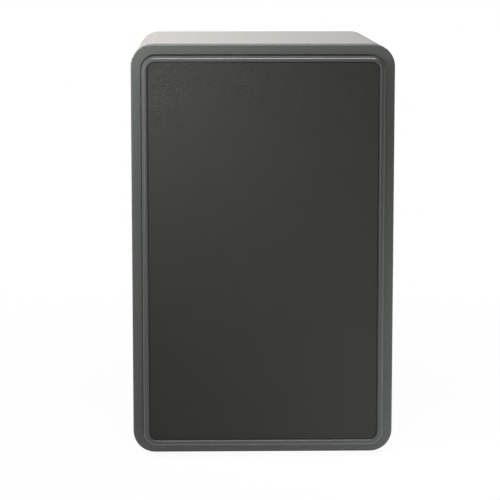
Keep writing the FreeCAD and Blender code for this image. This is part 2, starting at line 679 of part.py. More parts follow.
def woofer_motor():
    gap = FORMER_OUTSIDE + WINDING_WALL + COIL_AIR
    woofer("woofer_top_plate", ring(MAGNET_RADIUS - MAGNET_STEP, gap, BASKET_DEPTH, TOP_PLATE_BACK))
    woofer("woofer_magnet", ring(MAGNET_RADIUS, gap + 4 * MAGNET_STEP, TOP_PLATE_BACK, MAGNET_BACK))
    end = MAGNET_BACK + PLATE_THICKNESS
    back = disc(MAGNET_RADIUS - 2 * MAGNET_STEP, MAGNET_BACK, end)
    pole = disc(COIL_RADIUS - POLE_AIR, BASKET_DEPTH - 0.5, end)
    woofer("woofer_yoke", joined(back, pole).cut(disc(VENT_RADIUS, 0, end + CUT)))


def woofer_terminals():
    """An insulating strip with two tags; returns the depth and height at which its leads start."""
    board_back = BASKET_DEPTH + BOARD_THICKNESS
    tag_back = board_back + TAG_THICKNESS
    top = woofer_tag_top()
    board = block(-9, 9, BASKET_DEPTH, board_back, MAGNET_RADIUS + MAGNET_STEP, top)
    tags = [block(x - 2.4, x + 2.4, board_back, tag_back, top - 8, top + 7) for x in (-5, 5)]
    woofer("woofer_terminals", joined(board, *tags))
    return RECESS_FLOOR + tag_back, WOOFER_Z + top + 3


# ---------------------------------------------------------------- tweeter
def tweeter(name, shape):
    parts[name] = placed(shape, RECESS_FLOOR, TWEETER_Z)


def tweeter_faceplate():
    throat = DOME_RADIUS + DOME_ROLL
    seat = DOME_DEPTH - 0.4
    plate = turned([
        (TWEETER_RADIUS, 0), (TWEETER_RADIUS, FLANGE_THICKNESS), (TWEETER_CUTOUT - 1, FLANGE_THICKNESS),
        (TWEETER_CUTOUT - 1, FACEPLATE_DEPTH), (throat + 2.5, FACEPLATE_DEPTH), (throat + 2.5, seat),
        (throat, seat), (throat, seat - 1), (FLARE_START, 0, (FLARE_START + throat) / 2 - 1.4, 1.4),
    ])
    holes = screw_holes(tweeter_screw_places(), TWEETER_SCREW_SHANK, TWEETER_SCREW_HEAD)
    tweeter("tweeter_faceplate", without(plate, holes))


def tweeter_dome_and_surround():
    tweeter("tweeter_dome", turned(cap_profile(DOME_RADIUS, DOME_RISE, DOME_WALL, DOME_DEPTH)))
    front = DOME_DEPTH - DOME_WALL
    inner, outer = DOME_RADIUS + 0.2, DOME_RADIUS + DOME_ROLL
    middle, rise = DOME_RADIUS + DOME_ROLL / 2, DOME_ROLL / 2 - 0.2
    rim = outer + 2.3
    tweeter("tweeter_surround", turned([
        (rim, DOME_DEPTH), (rim, front), (outer, front), (inner, front, middle, front - rise),
        (inner, DOME_DEPTH), (outer - 0.1, DOME_DEPTH, middle, DOME_DEPTH - rise + 0.1),
    ]))


def tweeter_motor():
    coil_out = DOME_RADIUS
    coil_in = coil_out - TWEETER_COIL_WALL
    tweeter("tweeter_coil", ring(coil_out, coil_in, DOME_DEPTH, TWEETER_PLATE_BACK + 0.5))
    gap = coil_out + TWEETER_COIL_AIR
    rim = TWEETER_MAGNET_RADIUS - 0.5
    tweeter("tweeter_top_plate", ring(rim, gap, FACEPLATE_DEPTH, TWEETER_PLATE_BACK))
    tweeter("tweeter_magnet", ring(TWEETER_MAGNET_RADIUS, gap + 3.5, TWEETER_PLATE_BACK, TWEETER_MAGNET_BACK))
    back = disc(TWEETER_MAGNET_RADIUS - 1, TWEETER_MAGNET_BACK, TWEETER_BACK)
    pole = disc(coil_in - TWEETER_COIL_AIR, FACEPLATE_DEPTH, TWEETER_BACK)
    tweeter("tweeter_yoke", joined(back, pole).cut(disc(TWEETER_VENT_RADIUS, 0, TWEETER_BACK + CUT)))


def tweeter_rear_chamber():
    end = TWEETER_BACK + CHAMBER_LENGTH
    cup = round_edges_at(disc(CHAMBER_RADIUS, TWEETER_BACK, end), end, 1.5)
    hollow = disc(CHAMBER_RADIUS - CHAMBER_WALL, TWEETER_BACK - CUT, end - CHAMBER_WALL)
    tweeter("tweeter_rear_chamber", cup.cut(hollow))


def tweeter_terminals():
    """A strip with two tags on the yoke's rim; returns the depth and height at which its leads start."""
    board_back = TWEETER_BACK + 1.0
    tag_back = board_back + TAG_THICKNESS
    low = -TWEETER_MAGNET_RADIUS
    board = block(-9, 9, TWEETER_BACK, board_back, low - 5, low + 5)
    tags = [block(x - 1.4, x + 1.4, board_back, tag_back, low - 8, low + 1) for x in (-6, 6)]
    tweeter("tweeter_terminals", joined(board, *tags))
    return RECESS_FLOOR + tag_back, TWEETER_Z + low - 5


# ---------------------------------------------------------------- rear fittings
def port_screw_places():
    return [(x, PORT_Z + z) for x, z in around(4, PORT_FLARE_RADIUS - PORT_SCREW_INSET, 45.0)]


def cup_screw_places():
    x, z = (CUP_WIDTH - CUP_RIM) / 2, (CUP_HEIGHT - CUP_RIM) / 2
    return [(sx * x, CUP_Z + sz * z) for sx in (-1, 1) for sz in (-1, 1)]


def insert_places():
    return [-INSERT_SPACING / 2, INSERT_SPACING / 2]


def rear_screw(x, z):
    """A small cross-head screw that holds a rear fitting to the back panel."""
    end = FITTING_FACE + REAR_SCREW_HEAD_HEIGHT
    half = REAR_SCREW_HEAD_HEIGHT / 2
    cap = round_edges_at(disc(REAR_SCREW_HEAD, FITTING_FACE, end, x, z), end, half * 0.9)
    stem = disc(REAR_SCREW_SHANK, BACK_FACE - REAR_SCREW_REACH, FITTING_FACE, x, z)
    long, narrow = 1.7, 0.4
    cross = [
        block(x - dx, x + dx, end - half, end + CUT, z - dz, z + dz)
        for dx, dz in ((long, narrow), (narrow, long))
    ]
    return without(joined(cap, stem), cross)


def rear_screw_holes(places):
    radius = REAR_SCREW_SHANK + SCREW_CLEARANCE
    return [disc(radius, BACK_FACE - CUT, FITTING_FACE + CUT, x, z) for x, z in places]


def port():
    """A flared rear port: the flare is screwed to the back panel, and the duct continues its spigot."""
    inner, outer = PORT_RADIUS, PORT_RADIUS + PORT_WALL
    spigot_end, neck_end = BACK_FACE - PORT_SPIGOT, BACK_FACE - PORT_NECK_LENGTH
    edge = 1.0
    throat = BACK_FACE - PORT_FLARE_DEPTH
    sweep = FITTING_FACE - throat
    half = sweep * math.sqrt(0.5)
    flare = turned([
        (PORT_FLARE_RADIUS, BACK_FACE), (PORT_FLARE_RADIUS, FITTING_FACE - edge),
        (PORT_FLARE_RADIUS - edge, FITTING_FACE), (inner + sweep, FITTING_FACE),
        (inner, throat, inner + sweep - half, throat + half),
        (inner, spigot_end), (outer, spigot_end), (outer, neck_end),
        (PORT_NECK_RADIUS, neck_end), (PORT_NECK_RADIUS, BACK_FACE),
    ])
    parts["port_flare"] = without(placed(flare, 0, PORT_Z), rear_screw_holes(port_screw_places()))
    parts["port_duct"] = ring(outer, inner, BACK_FACE - PORT_LENGTH, spigot_end, 0, PORT_Z)
    parts["port_screws"] = group(rear_screw(x, z) for x, z in port_screw_places())


def terminal_cup():
    rim = slab(CUP_WIDTH, CUP_HEIGHT, CUP_CORNER, BACK_FACE, FITTING_FACE, CUP_Z)
    rim = round_edges_at(rim, FITTING_FACE, 0.8)
    tray = slab(
        POCKET_WIDTH + 2 * CUP_WALL, POCKET_HEIGHT + 2 * CUP_WALL, CUP_CORNER + CUP_WALL,
        CUP_BEHIND, BACK_FACE, CUP_Z,
    )
    cuts = [slab(POCKET_WIDTH, POCKET_HEIGHT, CUP_CORNER, CUP_FLOOR, FITTING_FACE + CUT, CUP_Z)]
    cuts += rear_screw_holes(cup_screw_places())
    for x in (-POST_SPACING / 2, POST_SPACING / 2):
        cuts.append(disc(STUD_RADIUS + STUD_HOLE_CLEARANCE, CUP_BEHIND - CUT, CUP_FLOOR + CUT, x, CUP_Z))
    parts["terminal_cup"] = without(joined(rim, tray), cuts)
    parts["cup_screws"] = group(rear_screw(x, z) for x, z in cup_screw_places())


def binding_post(name, x):
    """A stud with a socket for a plug and a cross hole for bare wire, its collar, washer and knob."""
    hole = STUD_RADIUS + STUD_HOLE_CLEARANCE
    collar_end = CUP_FLOOR + COLLAR_THICKNESS
    washer_end = collar_end + WASHER_THICKNESS
    knob_end = washer_end + KNOB_LENGTH
    stud_end = CUP_FLOOR + STUD_LENGTH
    parts[f"{name}_collar"] = ring(KNOB_RADIUS, hole, CUP_FLOOR, collar_end, x, CUP_Z)
    stud = disc(STUD_RADIUS, CUP_BEHIND - STUD_BEHIND, stud_end, x, CUP_Z)
    socket = disc(BANANA_RADIUS, stud_end - BANANA_DEPTH, stud_end + CUT, x, CUP_Z)
    start = V(x, collar_end + WIRE_HOLE_OFFSET, CUP_Z - 2 * STUD_RADIUS)
    wire_hole = Part.makeCylinder(WIRE_HOLE_RADIUS, 4 * STUD_RADIUS, start)
    parts[f"{name}_stud"] = without(stud, [socket, wire_hole])
    bore = STUD_RADIUS + KNOB_CLEARANCE
    parts[f"{name}_washer"] = ring(WASHER_RADIUS, bore, collar_end, washer_end, x, CUP_Z)
    knob = round_edges_at(disc(KNOB_RADIUS, washer_end, knob_end, x, CUP_Z), knob_end, 1.0)
    grips = [
        disc(GRIP_RADIUS, washer_end + 2, knob_end + CUT, x + dx, CUP_Z + dz)
        for dx, dz in around(KNOB_GRIPS, KNOB_RADIUS + GRIP_RADIUS / 2)
    ]
    parts[f"{name}_knob"] = without(knob, grips + [disc(bore, washer_end - CUT, knob_end + CUT, x, CUP_Z)])


def binding_posts():
    places = {"negative": -POST_SPACING / 2, "positive": POST_SPACING / 2}
    nuts = []
    for name, x in places.items():
        binding_post(name, x)
        end = CUP_BEHIND - NUT_THICKNESS
        nut = hexagon(NUT_RADIUS, end, CUP_BEHIND, x, CUP_Z)
        nuts.append(nut.cut(disc(STUD_RADIUS + STUD_HOLE_CLEARANCE, end - CUT, CUP_BEHIND + CUT, x, CUP_Z)))
    parts["post_nuts"] = group(nuts)


def wall_inserts():
    """Threaded inserts for a bracket, bored at the thread's minor diameter."""
    start = BACK_FACE - INSERT_LENGTH
    parts["wall_inserts"] = group(
        ring(INSERT_RADIUS, INSERT_BORE, start, BACK_FACE, x, INSERT_Z) for x in insert_places()
    )


# ---------------------------------------------------------------- crossover
def crossover_board():
    board_z = BOARD_TOP - BOARD_THICKNESS
    board = block(-BOARD_WIDTH / 2, BOARD_WIDTH / 2, BOARD_FRONT, BOARD_BACK, board_z, BOARD_TOP)
    hole = BOARD_SCREW_SHANK + 0.1
    holes, posts, screws = [], [], []
    for x in (-BOARD_WIDTH / 2 + BOARD_HOLE_INSET, BOARD_WIDTH / 2 - BOARD_HOLE_INSET):
        for y in (BOARD_FRONT + BOARD_HOLE_INSET, BOARD_BACK - BOARD_HOLE_INSET):
            bore = Part.makeCylinder(hole, STANDOFF_HEIGHT + 4, V(x, y, FLOOR_INSIDE - CUT))
            holes.append(bore)
            posts.append(Part.makeCylinder(STANDOFF_RADIUS, STANDOFF_HEIGHT, V(x, y, FLOOR_INSIDE)).cut(bore))
            head = Part.makeCylinder(BOARD_SCREW_HEAD, 2.0, V(x, y, BOARD_TOP))
            low = V(x, y, BOARD_TOP - BOARD_SCREW_LENGTH)
            stem = Part.makeCylinder(BOARD_SCREW_SHANK, BOARD_SCREW_LENGTH, low)
            screws.append(joined(head, stem))
    parts["crossover_board"] = without(board, holes)
    parts["board_standoffs"] = group(posts)
    parts["board_screws"] = group(screws)


def air_coil(radius, core, height, x, y):
    """A flat wound coil that lies on the board."""
    outside = Part.makeCylinder(radius, height, V(x, y, BOARD_TOP))
    return outside.cut(Part.makeCylinder(core, height + 2 * CUT, V(x, y, BOARD_TOP - CUT)))


def lying(radius, length, x, y):
    """A round component that lies on the board along X."""
    return Part.makeCylinder(radius, length, V(x - length / 2, y, BOARD_TOP + radius), V(1, 0, 0))


def crossover_parts():
    y = BOARD_FRONT
    parts["woofer_inductor"] = air_coil(21.0, 9.0, 17.0, -36, y + 58)
    parts["tweeter_inductor"] = air_coil(13.0, 6.0, 12.0, 38, y + 62)
    parts["crossover_capacitors"] = group([
        lying(8.0, 36.0, -30, y + 24), lying(6.5, 30.0, 24, y + 22), lying(5.0, 24.0, 24, y + 38)
    ])
    length, width, height = 25.0, 9.0, 9.0
    parts["crossover_resistors"] = group(
        block(-6, -6 + length, y + near, y + near + width, BOARD_TOP, BOARD_TOP + height) for near in (48, 62)
    )


# ---------------------------------------------------------------- leads
def lead(name, points):
    """A round lead along straight runs joined by tangent arcs, as large as its two runs allow."""
    edges, radii, last = [], [], points[0]
    for before, here, after in zip(points, points[1:], points[2:]):
        a, b = before.sub(here), after.sub(here)
        half = (math.pi - a.getAngle(b)) / 2
        reach = 0.45 * min(a.Length, b.Length)
        radius = reach / math.tan(half)
        a.normalize()
        b.normalize()
        inward = a.add(b).normalize()
        middle = here + inward * (radius / math.cos(half) - radius)
        edges.append(Part.makeLine(last, here + a * reach))
        edges.append(Part.Arc(here + a * reach, middle, here + b * reach).toShape())
        last = here + b * reach
        radii.append(f"{radius:.0f}")
    edges.append(Part.makeLine(last, points[-1]))
    path = Part.Wire(edges)
    section = Part.Wire([Part.makeCircle(LEAD_RADIUS, points[0], points[1].sub(points[0]))])
    tube = path.makePipeShell([section], True, False)
    ratio = tube.Volume / (math.pi * LEAD_RADIUS**2 * path.Length)
    print(f"{name}: length {path.Length:.0f}, radii {' '.join(radii)}, volume ratio {ratio:.4f}")
    return tube


def lead_pair(name, spacing, points):
    """Two like leads side by side, the second one spacing further along +X."""
    first = lead(name, [V(*p) for p in points])
    second = first.copy()
    second.translate(V(spacing, 0, 0))
    parts[name] = group([first, second])


def leads(woofer_tags, tweeter_tags):
    """Each driver's leads run to the board, and the board's input leads run to the terminal posts."""
    y, z = woofer_tags
    x, land = BOARD_WIDTH / 2 - WOOFER_LEAD_INSET, BOARD_FRONT + 20
    lead_pair("woofer_lead", 10.0, [
        (-5, y, z), (-5, y + 16, z), (12, y + 34, z - 10), (x - 7, y + 54, z - 40), (x + 3, y + 70, z - 84),
        (x, land, BOARD_TOP + 24), (x, land, BOARD_TOP),
    ])
    y, z = tweeter_tags
    x, land = TWEETER_LEAD_INSET - BOARD_WIDTH / 2 - 11, BOARD_FRONT + 34
    window = BRACE_FRONT + BRACE_FRONT_STRIP + 11
    lead_pair("tweeter_lead", 12.0, [
        (-6, y, z), (-6, y + 16, z), (-20, y + 36, z - 3), (x + 29, window - 20, BRACE_Z + 22),
        (x + 17, window, BRACE_Z + 8), (x + 9, window + 10, BRACE_Z - 20), (x + 7, window + 18, BRACE_Z - 60),
        (x + 7, window + 26, BRACE_Z - 104), (x + 11, land, BOARD_TOP + 26), (x + 11, land, BOARD_TOP),
    ])
    x, y, land = -POST_SPACING / 2, CUP_BEHIND - STUD_BEHIND, BOARD_BACK - 4
    lead_pair("input_lead", POST_SPACING, [
        (x, y, CUP_Z), (x, y - 12, CUP_Z), (x + 5, y - 23, CUP_Z - 11), (x + 15, y - 30, CUP_Z - 30),
        (x + 21, land, BOARD_TOP + 22), (x + 21, land, BOARD_TOP),
    ])


# ---------------------------------------------------------------- the whole
cabinet_shell()
back_panel()
window_brace()
rubber_feet()
front_baffle()
damping_wool()
grille_frame()
grille_cloth()
pegs_and_sockets()
driver_screws()
woofer_basket()
woofer_surround_and_gasket()
woofer_cone_and_cap()
woofer_coil()
woofer_spider()
woofer_motor()
tweeter_faceplate()
tweeter_dome_and_surround()
tweeter_motor()
tweeter_rear_chamber()
port()
terminal_cup()
binding_posts()
wall_inserts()
crossover_board()
crossover_parts()
leads(woofer_terminals(), tweeter_terminals())

os.makedirs("parts", exist_ok=True)
for name, shape in parts.items():
    shape.exportStep(f"parts/{name}.step")
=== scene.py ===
import json
import math

import bpy
import numpy as np
from bpy.props import FloatProperty, FloatVectorProperty, IntProperty, PointerProperty
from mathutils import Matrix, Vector


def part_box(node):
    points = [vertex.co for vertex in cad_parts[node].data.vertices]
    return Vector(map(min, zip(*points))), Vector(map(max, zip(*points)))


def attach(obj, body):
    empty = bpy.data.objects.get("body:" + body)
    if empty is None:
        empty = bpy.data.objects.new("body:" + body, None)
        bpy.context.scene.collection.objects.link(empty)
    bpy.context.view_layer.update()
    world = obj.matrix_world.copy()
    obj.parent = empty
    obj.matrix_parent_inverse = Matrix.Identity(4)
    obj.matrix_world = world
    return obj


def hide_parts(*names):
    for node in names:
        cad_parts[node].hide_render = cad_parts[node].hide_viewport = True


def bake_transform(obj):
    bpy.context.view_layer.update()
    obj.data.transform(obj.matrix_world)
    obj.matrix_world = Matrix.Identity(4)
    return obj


bl_info = {
    "name": "Bookshelf speaker",
    "version": (1, 0, 0),
    "blender": (4, 5, 0),
    "location": "3D View > Sidebar > Speaker",
    "description": "Dresses the frame of a two-way bookshelf speaker: cloth, suspensions, wool, finishes and stage",
    "category": "Object",
}

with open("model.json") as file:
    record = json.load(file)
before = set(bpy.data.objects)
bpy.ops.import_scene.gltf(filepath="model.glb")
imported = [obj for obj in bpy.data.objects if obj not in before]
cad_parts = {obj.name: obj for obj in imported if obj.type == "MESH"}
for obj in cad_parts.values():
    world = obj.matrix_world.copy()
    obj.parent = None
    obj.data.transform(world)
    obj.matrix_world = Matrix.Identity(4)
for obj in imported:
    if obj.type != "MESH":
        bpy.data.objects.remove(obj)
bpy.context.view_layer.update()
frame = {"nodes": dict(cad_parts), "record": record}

WOOFER_AXIS = sum(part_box("woofer_cone"), Vector()) / 2
TWEETER_AXIS = sum(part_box("tweeter_dome"), Vector()) / 2


def half_width(node):
    low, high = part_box(node)
    return (high.x - low.x) / 2


CONE_EDGE = half_width("woofer_cone") + 0.0005
FORMER_OUTSIDE = half_width("woofer_coil_former")


# ---------------------------------------------------------------- sizes and colours a user may change
class SpeakerSizes(bpy.types.PropertyGroup):
    weave_pitch: FloatProperty(
        name="Weave pitch", description="Width of one repeat of the grille cloth's weave",
        default=0.0018, min=0.0003, unit="LENGTH")
    cloth_tuck: FloatProperty(
        name="Cloth tuck", description="How far the edge of the grille cloth turns down beside the frame",
        default=0.0006, min=0.0, unit="LENGTH")
    spider_waves: IntProperty(
        name="Spider waves", description="Number of rolls pressed in the woofer's spider", default=7, min=3)
    roll_radius: FloatProperty(
        name="Roll radius", description="Radius of the roll in the woofer's surround", default=0.0056, unit="LENGTH")
    rubber_wall: FloatProperty(
        name="Surround wall", description="Thickness of the woofer's rubber surround",
        default=0.0009, min=0.0003, unit="LENGTH")
    camera_distance: FloatProperty(
        name="Camera distance", description="From the baffle's face to the camera", default=1.70, unit="LENGTH")


class SpeakerColours(bpy.types.PropertyGroup):
    lacquer: FloatVectorProperty(
        name="Lacquer", description="Cabinet's satin lacquer", subtype="COLOR", size=3, min=0, max=1,
        default=(0.030, 0.029, 0.028))
    paint: FloatVectorProperty(
        name="Paint", description="Paint of the front baffle", subtype="COLOR", size=3, min=0, max=1,
        default=(0.027, 0.0305, 0.028))
    moulding: FloatVectorProperty(
        name="Moulding", description="Frame of the grille", subtype="COLOR", size=3, min=0, max=1,
        default=(0.018, 0.0205, 0.0195))
    thread: FloatVectorProperty(
        name="Thread", description="Threads of the grille cloth", subtype="COLOR", size=3, min=0, max=1,
        default=(0.029, 0.029, 0.0278))
    backdrop: FloatVectorProperty(
        name="Backdrop", description="Floor and backdrop", subtype="COLOR", size=3, min=0, max=1,
        default=(0.86, 0.86, 0.86))


def sizes():
    return bpy.context.scene.speaker_sizes


def colours():
    return bpy.context.scene.speaker_colours


# ---------------------------------------------------------------- node helpers
def put(tree, kind, settings=None, **sockets):
    """A new node; settings are its own properties, and sockets are numbers, colours or other sockets."""
    made = tree.nodes.new(kind)
    for key, value in (settings or {}).items():
        setattr(made, key, value)
    for key, value in sockets.items():
        target = made.inputs[int(key[1:])] if key[0] == "i" and key[1:].isdigit() else made.inputs[key.replace("_", " ")]
        if isinstance(value, bpy.types.NodeSocket):
            tree.links.new(value, target)
        elif isinstance(value, (tuple, list)) and len(value) == 3 and target.type == "RGBA":
            target.default_value = (*value, 1)
        else:
            target.default_value = value
    return made


def maths(tree, operation, a, b=0.0, c=None):
    sockets = {"i0": a, "i1": b}
    if c is not None:
        sockets["i2"] = c
    return put(tree, "ShaderNodeMath", {"operation": operation}, **sockets).outputs[0]


def mixed(tree, factor, a, b):
    made = put(tree, "ShaderNodeMix", {"data_type": "RGBA"}, i0=factor, i6=a, i7=b)
    return made.outputs[2]


def between(tree, value, low, high, to_low=0.0, to_high=1.0):
    made = put(tree, "ShaderNodeMapRange", {"clamp": True}, Value=value)
    for key, number in zip(("From Min", "From Max", "To Min", "To Max"), (low, high, to_low, to_high)):
        if isinstance(number, bpy.types.NodeSocket):
            tree.links.new(number, made.inputs[key])
        else:
            made.inputs[key].default_value = number
    return made.outputs[0]


def new_group(name, inputs, outputs):
    """A node group with the named sockets; returns its tree, its inputs by name and its output node."""
    tree = bpy.data.node_groups.new(name, "ShaderNodeTree")
    kinds = {"c": "NodeSocketColor", "f": "NodeSocketFloat", "v": "NodeSocketVector"}
    for label, kind, default in inputs:
        socket = tree.interface.new_socket(label, in_out="INPUT", socket_type=kinds[kind])
        if default is not None:
            socket.default_value = default
    for label, kind in outputs:
        tree.interface.new_socket(label, in_out="OUTPUT", socket_type=kinds[kind])
    entry, leave = tree.nodes.new("NodeGroupInput"), tree.nodes.new("NodeGroupOutput")
    return tree, {s.name: s for s in entry.outputs if s.name}, leave


def send(tree, leave, **values):
    for label, value in values.items():
        tree.links.new(value, leave.inputs[label.replace("_", " ")])


def grain_group():
    """Fine moulded or sprayed texture with slow cloudiness, as a colour, a roughness and a height."""
    tree, given, leave = new_group("fine_grain", [
        ("Colour", "c", (0.1, 0.1, 0.1, 1)), ("Size", "f", 0.0006), ("Cloud", "f", 0.12), ("Speckle", "f", 0.2),
        ("Roughness", "f", 0.5), ("Uneven", "f", 0.08),
    ], [("Colour", "c"), ("Roughness", "f"), ("Height", "f")])
    place = tree.nodes.new("ShaderNodeTexCoord").outputs["Object"]
    scale = maths(tree, "DIVIDE", 1.0, given["Size"])
    fine = put(tree, "ShaderNodeTexNoise", Vector=place, Scale=scale, Detail=2.0, Roughness=0.6).outputs[0]
    slow = put(tree, "ShaderNodeTexNoise", Vector=place, Scale=28.0, Detail=3.0, Roughness=0.55).outputs[0]
    cloud = maths(tree, "MULTIPLY", maths(tree, "SUBTRACT", slow, 0.5), given["Cloud"])
    speck = maths(tree, "MULTIPLY", maths(tree, "SUBTRACT", fine, 0.5), given["Speckle"])
    gain = maths(tree, "ADD", 1.0, maths(tree, "MULTIPLY", maths(tree, "ADD", cloud, speck), 2.0))
    colour = put(tree, "ShaderNodeVectorMath", {"operation": "SCALE"}, i0=given["Colour"], i3=gain).outputs[0]
    uneven = maths(tree, "MULTIPLY", maths(tree, "SUBTRACT", slow, 0.5), given["Uneven"])
    send(tree, leave, Colour=colour, Roughness=maths(tree, "ADD", given["Roughness"], uneven), Height=fine)
    return tree


def dust_group():
    """A thin veil of dust on faces that look up, broken up by noise."""
    tree, given, leave = new_group("settled_dust", [
        ("Colour", "c", (0.1, 0.1, 0.1, 1)), ("Dust", "c", (0.45, 0.43, 0.40, 1)), ("Amount", "f", 0.1),
    ], [("Colour", "c"), ("Mask", "f")])
    normal = tree.nodes.new("ShaderNodeNewGeometry").outputs["Normal"]
    up = put(tree, "ShaderNodeSeparateXYZ", Vector=normal).outputs[2]
    place = tree.nodes.new("ShaderNodeTexCoord").outputs["Object"]
    patch = put(tree, "ShaderNodeTexNoise", Vector=place, Scale=60.0, Detail=5.0, Roughness=0.7).outputs[0]
    veil = maths(tree, "MULTIPLY", between(tree, up, 0.2, 1.0), between(tree, patch, 0.35, 0.75))
    mask = maths(tree, "MULTIPLY", veil, given["Amount"])
    send(tree, leave, Colour=mixed(tree, mask, given["Colour"], given["Dust"]), Mask=mask)
    return tree


def weave_group():
    """Two sets of round threads crossing on the diagonal, under and over, as a colour and a height; the colour carries
    painted shade, darkening towards the dip colour where the threads dip under each other.
    """
    tree, given, leave = new_group("diagonal_weave", [
        ("Thread", "c", (0.1, 0.1, 0.1, 1)), ("Gap", "c", (0.01, 0.01, 0.01, 1)), ("Across", "f", 0.0),
        ("Along", "f", 0.0), ("Pitch", "f", 0.001), ("Fray", "f", 0.3),
    ], [("Colour", "c"), ("Height", "f")])
    place = tree.nodes.new("ShaderNodeTexCoord").outputs["Object"]
    wander = put(tree, "ShaderNodeTexNoise", Vector=place, Scale=220.0, Detail=2.0).outputs[0]
    drift = maths(tree, "MULTIPLY", maths(tree, "SUBTRACT", wander, 0.5), 0.9)
    turns = maths(tree, "DIVIDE", math.pi * 2, given["Pitch"])
    one = maths(tree, "ADD", maths(tree, "MULTIPLY", given["Across"], turns), drift)
    two = maths(tree, "ADD", maths(tree, "MULTIPLY", given["Along"], turns), drift)
    ridge = maths(tree, "MULTIPLY", maths(tree, "SINE", one), maths(tree, "SINE", two))
    height = between(tree, ridge, -1.0, 1.0)
    fibre = put(tree, "ShaderNodeTexNoise", Vector=place, Scale=5200.0, Detail=1.0).outputs[0]
    fuzz = maths(tree, "MULTIPLY", maths(tree, "SUBTRACT", fibre, 0.5), given["Fray"])
    level = maths(tree, "ADD", height, fuzz)
    # Painted shade: the colour goes from the thread colour to the much darker dip colour where the threads dip,
    # following the same height that drives the bump.
    send(tree, leave, Colour=mixed(tree, between(tree, level, 0.1, 0.75), given["Gap"], given["Thread"]), Height=level)
    return tree


def winding_group():
    """Turns of wire side by side round an axis along Y, with the layers showing at the ends; the colour is painted
    shade, going to the Shade colour in the grooves between the turns.
    """
    tree, given, leave = new_group("wire_turns", [
        ("Wire", "c", (0.7, 0.35, 0.18, 1)), ("Shade", "c", (0.2, 0.08, 0.03, 1)), ("Position", "f", 0.0),
        ("Pitch", "f", 0.0006),
    ], [("Colour", "c"), ("Height", "f")])
    turns = maths(tree, "DIVIDE", math.pi * 2, given["Pitch"])
    wave = maths(tree, "SINE", maths(tree, "MULTIPLY", given["Position"], turns))
    height = between(tree, wave, -1.0, 1.0)
    # Painted shade: the colour follows the height, dark in the grooves between the turns.
    send(tree, leave, Colour=mixed(tree, between(tree, height, 0.0, 0.6), given["Shade"], given["Wire"]), Height=height)
    return tree


def stroke_group():
    """Fine tool marks drawn out along one direction, as a roughness and a height."""
    tree, given, leave = new_group("tool_marks", [
        ("Stretch", "v", (1.0, 1.0, 1.0)), ("Roughness", "f", 0.3), ("Depth", "f", 0.15),
    ], [("Roughness", "f"), ("Height", "f")])
    place = tree.nodes.new("ShaderNodeTexCoord").outputs["Object"]
    drawn = put(tree, "ShaderNodeVectorMath", {"operation": "MULTIPLY"}, i0=place, i1=given["Stretch"]).outputs[0]
    marks = put(tree, "ShaderNodeTexNoise", Vector=drawn, Scale=900.0, Detail=4.0, Roughness=0.65).outputs[0]
    change = maths(tree, "MULTIPLY", maths(tree, "SUBTRACT", marks, 0.5), given["Depth"])
    send(tree, leave, Roughness=maths(tree, "ADD", given["Roughness"], change), Height=marks)
    return tree


class Finish:
    """One material: a Principled BSDF whose looks are filled in by the shared groups."""

    def __init__(self, name, **constants):
        self.material = bpy.data.materials.new(name)
        self.material.use_nodes = True
        self.tree = self.material.node_tree
        self.shader = self.tree.nodes["Principled BSDF"]
        for key, value in constants.items():
            socket = self.shader.inputs[key.replace("_", " ")]
            socket.default_value = (*value, 1) if isinstance(value, tuple) and len(value) == 3 else value

    def link(self, **sockets):
        for key, value in sockets.items():
            self.tree.links.new(value, self.shader.inputs[key.replace("_", " ")])

    def group(self, name, **sockets):
        made = put(self.tree, "ShaderNodeGroup", {"node_tree": bpy.data.node_groups[name]})
        for key, value in sockets.items():
            target = made.inputs[key]
            if isinstance(value, bpy.types.NodeSocket):
                self.tree.links.new(value, target)
            else:
                target.default_value = (*value, 1) if target.type == "RGBA" else value
        return made.outputs

    def place(self, axis=None):
        spot = self.tree.nodes.new("ShaderNodeTexCoord").outputs["Object"]
        if axis is None:
            return spot
        return put(self.tree, "ShaderNodeSeparateXYZ", Vector=spot).outputs["XYZ".index(axis)]

    def bump(self, height, depth, strength=1.0):
        made = put(self.tree, "ShaderNodeBump", Height=height, Distance=depth, Strength=strength)
        self.link(Normal=made.outputs[0])


def grained(name, colour, roughness, size=0.0006, depth=0.00002, cloud=0.06, speckle=0.12, uneven=0.08, dust=0.0,
            **constants):
    """Paint, lacquer, rubber or moulded plastic with a fine texture."""
    made = Finish(name, **constants)
    out = made.group("fine_grain", Colour=tuple(colour), Size=size, Cloud=cloud, Speckle=speckle,
                     Roughness=roughness, Uneven=uneven)
    shade = out["Colour"]
    if dust:
        shade = made.group("settled_dust", Colour=(0, 0, 0), Amount=dust)
        veil = shade["Colour"].node
        made.tree.links.new(out["Colour"], veil.inputs["Colour"])
        shade = veil.outputs["Colour"]
    made.link(Base_Color=shade, Roughness=out["Roughness"])
    made.bump(out["Height"], depth)
    return made.material


def metal(name, colour, roughness, stretch=(1, 1, 1), depth=0.14, bump=0.000004, metallic=1.0, **constants):
    """Turned, drawn or plated metal."""
    made = Finish(name, Metallic=metallic, **constants)
    grain = made.group("fine_grain", Colour=tuple(colour), Size=0.004, Cloud=0.05, Speckle=0.03,
                       Roughness=roughness, Uneven=0.05)
    marks = made.group("tool_marks", Stretch=stretch, Roughness=roughness, Depth=depth)
    made.link(Base_Color=grain["Colour"], Roughness=marks["Roughness"])
    made.bump(marks["Height"], bump)
    return made.material


def grille_cloth_finish():
    made = Finish("grille_cloth", Roughness=0.92, Sheen_Weight=0.02, Sheen_Roughness=0.5, Specular_IOR_Level=0.03)
    thread = tuple(colours().thread)
    # Painted shade: the dips of the weave are drawn at 0.06 of the thread colour, far darker than the threads.
    out = made.group("diagonal_weave", Thread=thread, Gap=tuple(0.06 * c for c in thread),
                     Across=made.place("X"), Along=made.place("Z"), Pitch=sizes().weave_pitch, Fray=0.35)
    made.link(Base_Color=out["Colour"])
    made.bump(out["Height"], 0.00022, 0.8)
    return made.material


